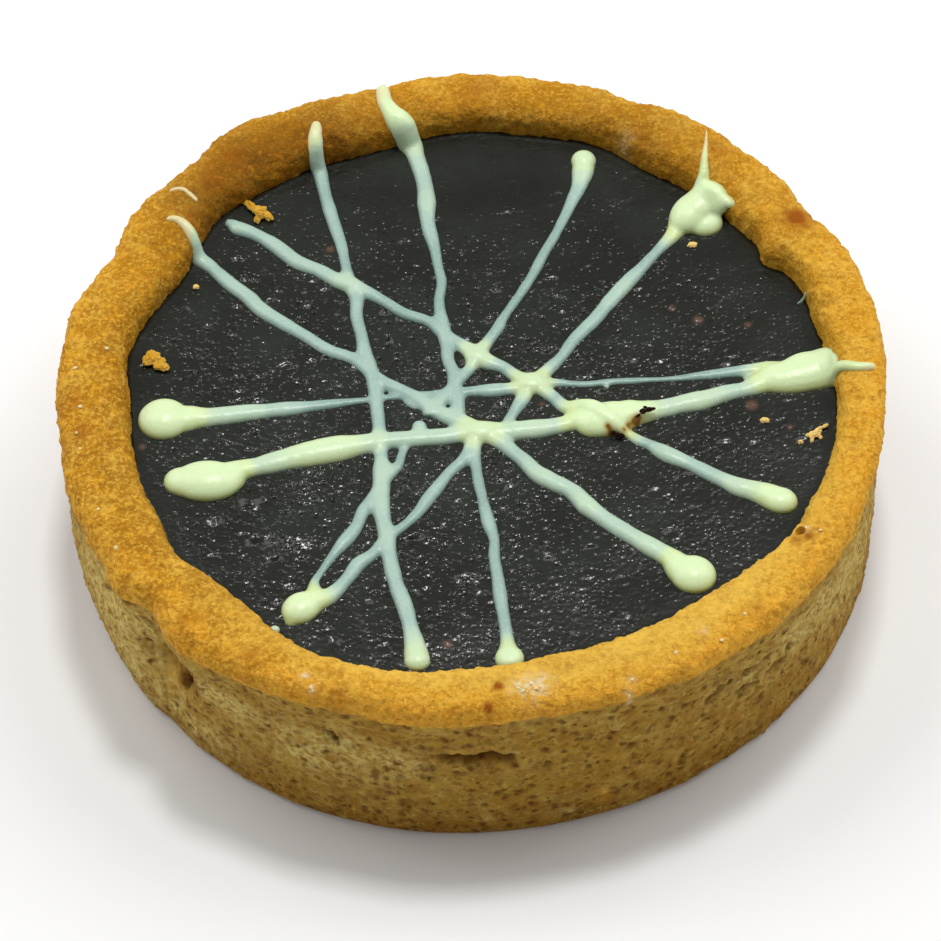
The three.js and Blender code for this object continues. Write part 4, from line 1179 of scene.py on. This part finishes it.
# ---------------------------------------------------------------- crumbs
# Crumbs of each kind: x, y, half sizes (long, wide, high), turn in degrees, lift; all in mm.
GOLDEN_CRUMBS = [
    ((-21.3, 24.9), (0.95, 0.38, 0.3), -50, 0.3), ((-20.55, 24.0), (0.85, 0.5, 0.4), -50, 0.4),
    ((-20.1, 24.1), (0.5, 0.3, 0.3), 40, 0.45), ((-20.6, 23.2), (0.5, 0.35, 0.3), 75, 0.2),
    ((-19.6, 23.5), (0.7, 0.38, 0.32), -60, 0.25),
    ((-30.9, 5.6), (0.95, 0.75, 0.36), 10, 0.4), ((-31.0, 5.9), (0.6, 0.45, 0.28), 60, 0.55),
    ((-30.1, 4.75), (0.8, 0.55, 0.32), -35, 0.35), ((-29.9, 5.3), (0.35, 0.3, 0.25), 0, 0.35),
]
PALE_CRUMBS = [
    ((32.5, -7.1), (0.65, 0.4, 0.25), 20, 0.25), ((32.9, -6.6), (0.5, 0.2, 0.18), 35, 0.3),
    ((33.55, -6.25), (0.32, 0.2, 0.18), 30, 0.3), ((32.2, -7.6), (0.4, 0.18, 0.16), 75, 0.15),
    ((32.95, -7.4), (0.3, 0.18, 0.15), -60, 0.15), ((31.9, -7.2), (0.3, 0.2, 0.18), 0, 0.2),
    ((31.1, -7.9), (0.26, 0.2, 0.2), 0, 0.1), ((27.9, -5.1), (0.42, 0.32, 0.25), 0, 0.1),
    ((22.5, 17.4), (0.45, 0.35, 0.25), 0, 0.1), ((-26.7, 14.7), (0.3, 0.28, 0.2), 0, 0.1),
]
BURNT_CRUMBS = [
    ((16.95, -4.05), (0.5, 0.24, 0.16), 12, 1.25), ((16.25, -4.3), (0.36, 0.3, 0.16), 60, 1.3),
    ((15.75, -4.75), (0.3, 0.14, 0.1), 50, 1.2), ((16.5, -3.85), (0.2, 0.12, 0.1), 0, 1.35),
    ((13.9, -6.4), (0.5, 0.24, 0.2), -10, 0.45), ((13.3, -6.2), (0.25, 0.2, 0.15), 40, 0.6),
]
RIM_CRUMBS = [((30.0, -20.5), (0.5, 0.4, 0.35), 0, 0.1)]


def broken_lump(half, turn, place, seed):
    """One crumb: a ball pulled into a craggy lump of its own half sizes."""
    bpy.ops.mesh.primitive_ico_sphere_add(subdivisions=4, radius=MM)
    lump = bpy.context.object
    points = points_of(lump)
    crags = 0.4 * lumps(points, 0.9, shift=seed * 3.7) + 0.4 * lumps(points, 0.35, shift=seed)
    points *= (1 + 0.8 * crags)[:, None] * np.array(half)
    put_points(lump, points)
    bpy.ops.object.mode_set(mode="EDIT")
    bpy.ops.mesh.select_all(action="SELECT")
    bpy.ops.transform.rotate(value=-turn * DEGREE, orient_axis="Z", center_override=(0, 0, 0))
    bpy.ops.transform.translate(value=[value * MM for value in place])
    bpy.ops.object.mode_set(mode="OBJECT")
    return lump


def scatter(sizes, crumbs, seed):
    """The crumbs of one kind, each at its place, joined into one piece."""
    made = []
    deselect()
    for number, ((x, y), half, turn, lift) in enumerate(crumbs):
        place = (x, y, carrier(sizes, x, y) + lift)
        made.append(broken_lump(half, turn, place, seed + number))
    take(*made)
    bpy.ops.object.join()
    pile = bpy.context.object
    mark(pile, "crust", step(0.2, 0.75, normals_of(pile)[:, 2]))
    return pile


class TART_OT_crumbs(bpy.types.Operator):
    """Scatter the golden, pale, burnt and rim crumbs"""
    bl_idname = "tart.crumbs"
    bl_label = "Crumbs"

    def execute(self, context):
        sizes, colours = context.scene.tart_sizes, context.scene.tart_colours
        golden = broken_pastry("pastry crumb, golden", colours.crumb, colours.crumb_crust, 0.5)
        pale = broken_pastry("pastry crumb, pale", colours.sugar, colours.crumb, 0.4)
        burnt = broken_pastry("pastry crumb, burnt", colours.char, colours.char_dark, 0.4)
        toasted = broken_pastry("pastry crumb, toasted", colours.gold, colours.gold_dark, 0.6)
        for name, crumbs, seed, material, node in (
                ("golden_crumbs", GOLDEN_CRUMBS, 1, golden, "filling"),
                ("pale_crumbs", PALE_CRUMBS, 20, pale, "filling"),
                ("burnt_crumbs", BURNT_CRUMBS, 30, burnt, "filling"),
                ("rim_crumbs", RIM_CRUMBS, 50, toasted, "crust")):
            finish_piece(scatter(sizes, crumbs, seed), name, material, "shortcrust", node)
        return {"FINISHED"}


# Grains of sugar with a place of their own: degrees and radius. The others fall by chance.
SUGAR_SPOTS = [
    (244.6, 38.24), (244.9, 38.3), (246.6, 39.1), (246.3, 38.95), (274.8, 36.9), (275.3, 37.2),
    (275.9, 37.3), (276.6, 36.5), (277.2, 37.1), (326.4, 36.5), (326.0, 36.3), (289.4, 39.27),
    (290.4, 38.3), (183, 37.5), (176, 38.1),
]
SUGAR_GRAINS = 24


class TART_OT_sugar(bpy.types.Operator):
    """Dot the pastry with grains of sugar"""
    bl_idname = "tart.sugar"
    bl_label = "Sugar grains"

    def execute(self, context):
        sizes, colours = context.scene.tart_sizes, context.scene.tart_colours
        chance = random.Random(4)
        spots = list(SUGAR_SPOTS)
        while len(spots) < SUGAR_GRAINS:
            spots.append((chance.uniform(160, 340), chance.gauss(37.4, 1.1)))
        made = []
        deselect()
        for number, (angle, radius) in enumerate(spots):
            x, y = radius * math.cos(angle * DEGREE), radius * math.sin(angle * DEGREE)
            size = chance.uniform(0.09, 0.17)
            made.append(broken_lump((1.3 * size, size, 0.8 * size), number * 40,
                                    (x, y, carrier(sizes, x, y) + 0.05), number))
        take(*made)
        bpy.ops.object.join()
        finish_piece(context.object, "sugar_grains", sugar_grain(colours), "shortcrust", "crust")
        return {"FINISHED"}


# ---------------------------------------------------------------- floor, light and camera
ROOM_LIGHT = 0.3         # strength of the light from all round
# Lights: name, place in metres, width in metres, watts. Each points at the tart.
LIGHTS = [
    ("skylight", (0.05, 0.22, 0.85), 0.13, 2.9),
    ("back left window", (-0.45, 0.35, 0.7), 0.5, 2.35),
    ("back right window", (0.45, 0.35, 0.7), 0.5, 2.35),
    ("left window", (-0.75, 0.1, 0.3), 0.6, 1.05),
    ("right window", (0.75, 0.1, 0.3), 0.6, 1.05),
]
CAMERA_PLACE = (-0.27, -241.46, 319.0)         # mm
CAMERA_TARGET = (-0.439, -3.289, 10)           # mm
CAMERA_ROLL = -2.508                           # degrees
CAMERA_LENS, CAMERA_SENSOR = 153.03, 36        # mm


class TART_OT_stage(bpy.types.Operator):
    """Set the floor, the soft light and the camera"""
    bl_idname = "tart.stage"
    bl_label = "Floor, light and camera"

    def execute(self, context):
        scene = context.scene
        deselect()
        bpy.ops.mesh.primitive_plane_add(size=3.0)
        floor = context.object
        floor.name = "floor"
        floor.data.materials.append(matt_board(scene.tart_colours))

        world = scene.world or bpy.data.worlds.new("soft room")
        scene.world = world
        world.use_nodes = True
        world.node_tree.nodes["Background"].inputs["Color"].default_value = (1, 1, 1, 1)
        world.node_tree.nodes["Background"].inputs["Strength"].default_value = ROOM_LIGHT
        for name, place, width, power in LIGHTS:
            bpy.ops.object.light_add(type="AREA", location=place)
            light = context.object
            light.name = name
            light.data.size = width
            light.data.energy = power
            light.rotation_euler = (-Vector(place)).to_track_quat("-Z", "Y").to_euler()

        bpy.ops.object.camera_add()
        camera = context.object
        place = Vector(CAMERA_PLACE) * MM
        target = Vector(CAMERA_TARGET) * MM
        forward = (target - place).normalized()
        right = forward.cross(Vector((0, 0, 1))).normalized()
        up = right.cross(forward)
        roll = CAMERA_ROLL * DEGREE
        right, up = (right * math.cos(roll) + up * math.sin(roll),
                     up * math.cos(roll) - right * math.sin(roll))
        camera.matrix_world = Matrix.Translation(place) @ Matrix(
            (right, up, -forward)).transposed().to_4x4()
        camera.data.sensor_width = CAMERA_SENSOR
        camera.data.lens = CAMERA_LENS
        camera.data.clip_start = 0.01
        scene.camera = camera
        scene.view_settings.view_transform = "Standard"
        return {"FINISHED"}


STEPS = ("stage", "case", "ganache", "drizzle", "crumbs", "sugar")


class TART_PT_panel(bpy.types.Panel):
    """The tart's sizes, colours and pieces"""
    bl_idname = "TART_PT_panel"
    bl_label = "Chocolate tart"
    bl_space_type = "VIEW_3D"
    bl_region_type = "UI"
    bl_category = "Tart"

    def draw(self, context):
        for group in (context.scene.tart_sizes, context.scene.tart_colours):
            box = self.layout.box()
            for name in group.__annotations__:
                box.prop(group, name)
        for name in STEPS:
            self.layout.operator("tart." + name)


CLASSES = (TartSizes, TartColours, TART_OT_stage, TART_OT_case, TART_OT_ganache,
           TART_OT_drizzle, TART_OT_crumbs, TART_OT_sugar, TART_PT_panel)


def register():
    for one in CLASSES:
        bpy.utils.register_class(one)
    bpy.types.Scene.tart_sizes = bpy.props.PointerProperty(type=TartSizes)
    bpy.types.Scene.tart_colours = bpy.props.PointerProperty(type=TartColours)


def unregister():
    del bpy.types.Scene.tart_sizes
    del bpy.types.Scene.tart_colours
    for one in reversed(CLASSES):
        bpy.utils.unregister_class(one)


def main():
    register()
    for name in STEPS:
        getattr(bpy.ops.tart, name)()
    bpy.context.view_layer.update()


if __name__ == "__main__":
    main()
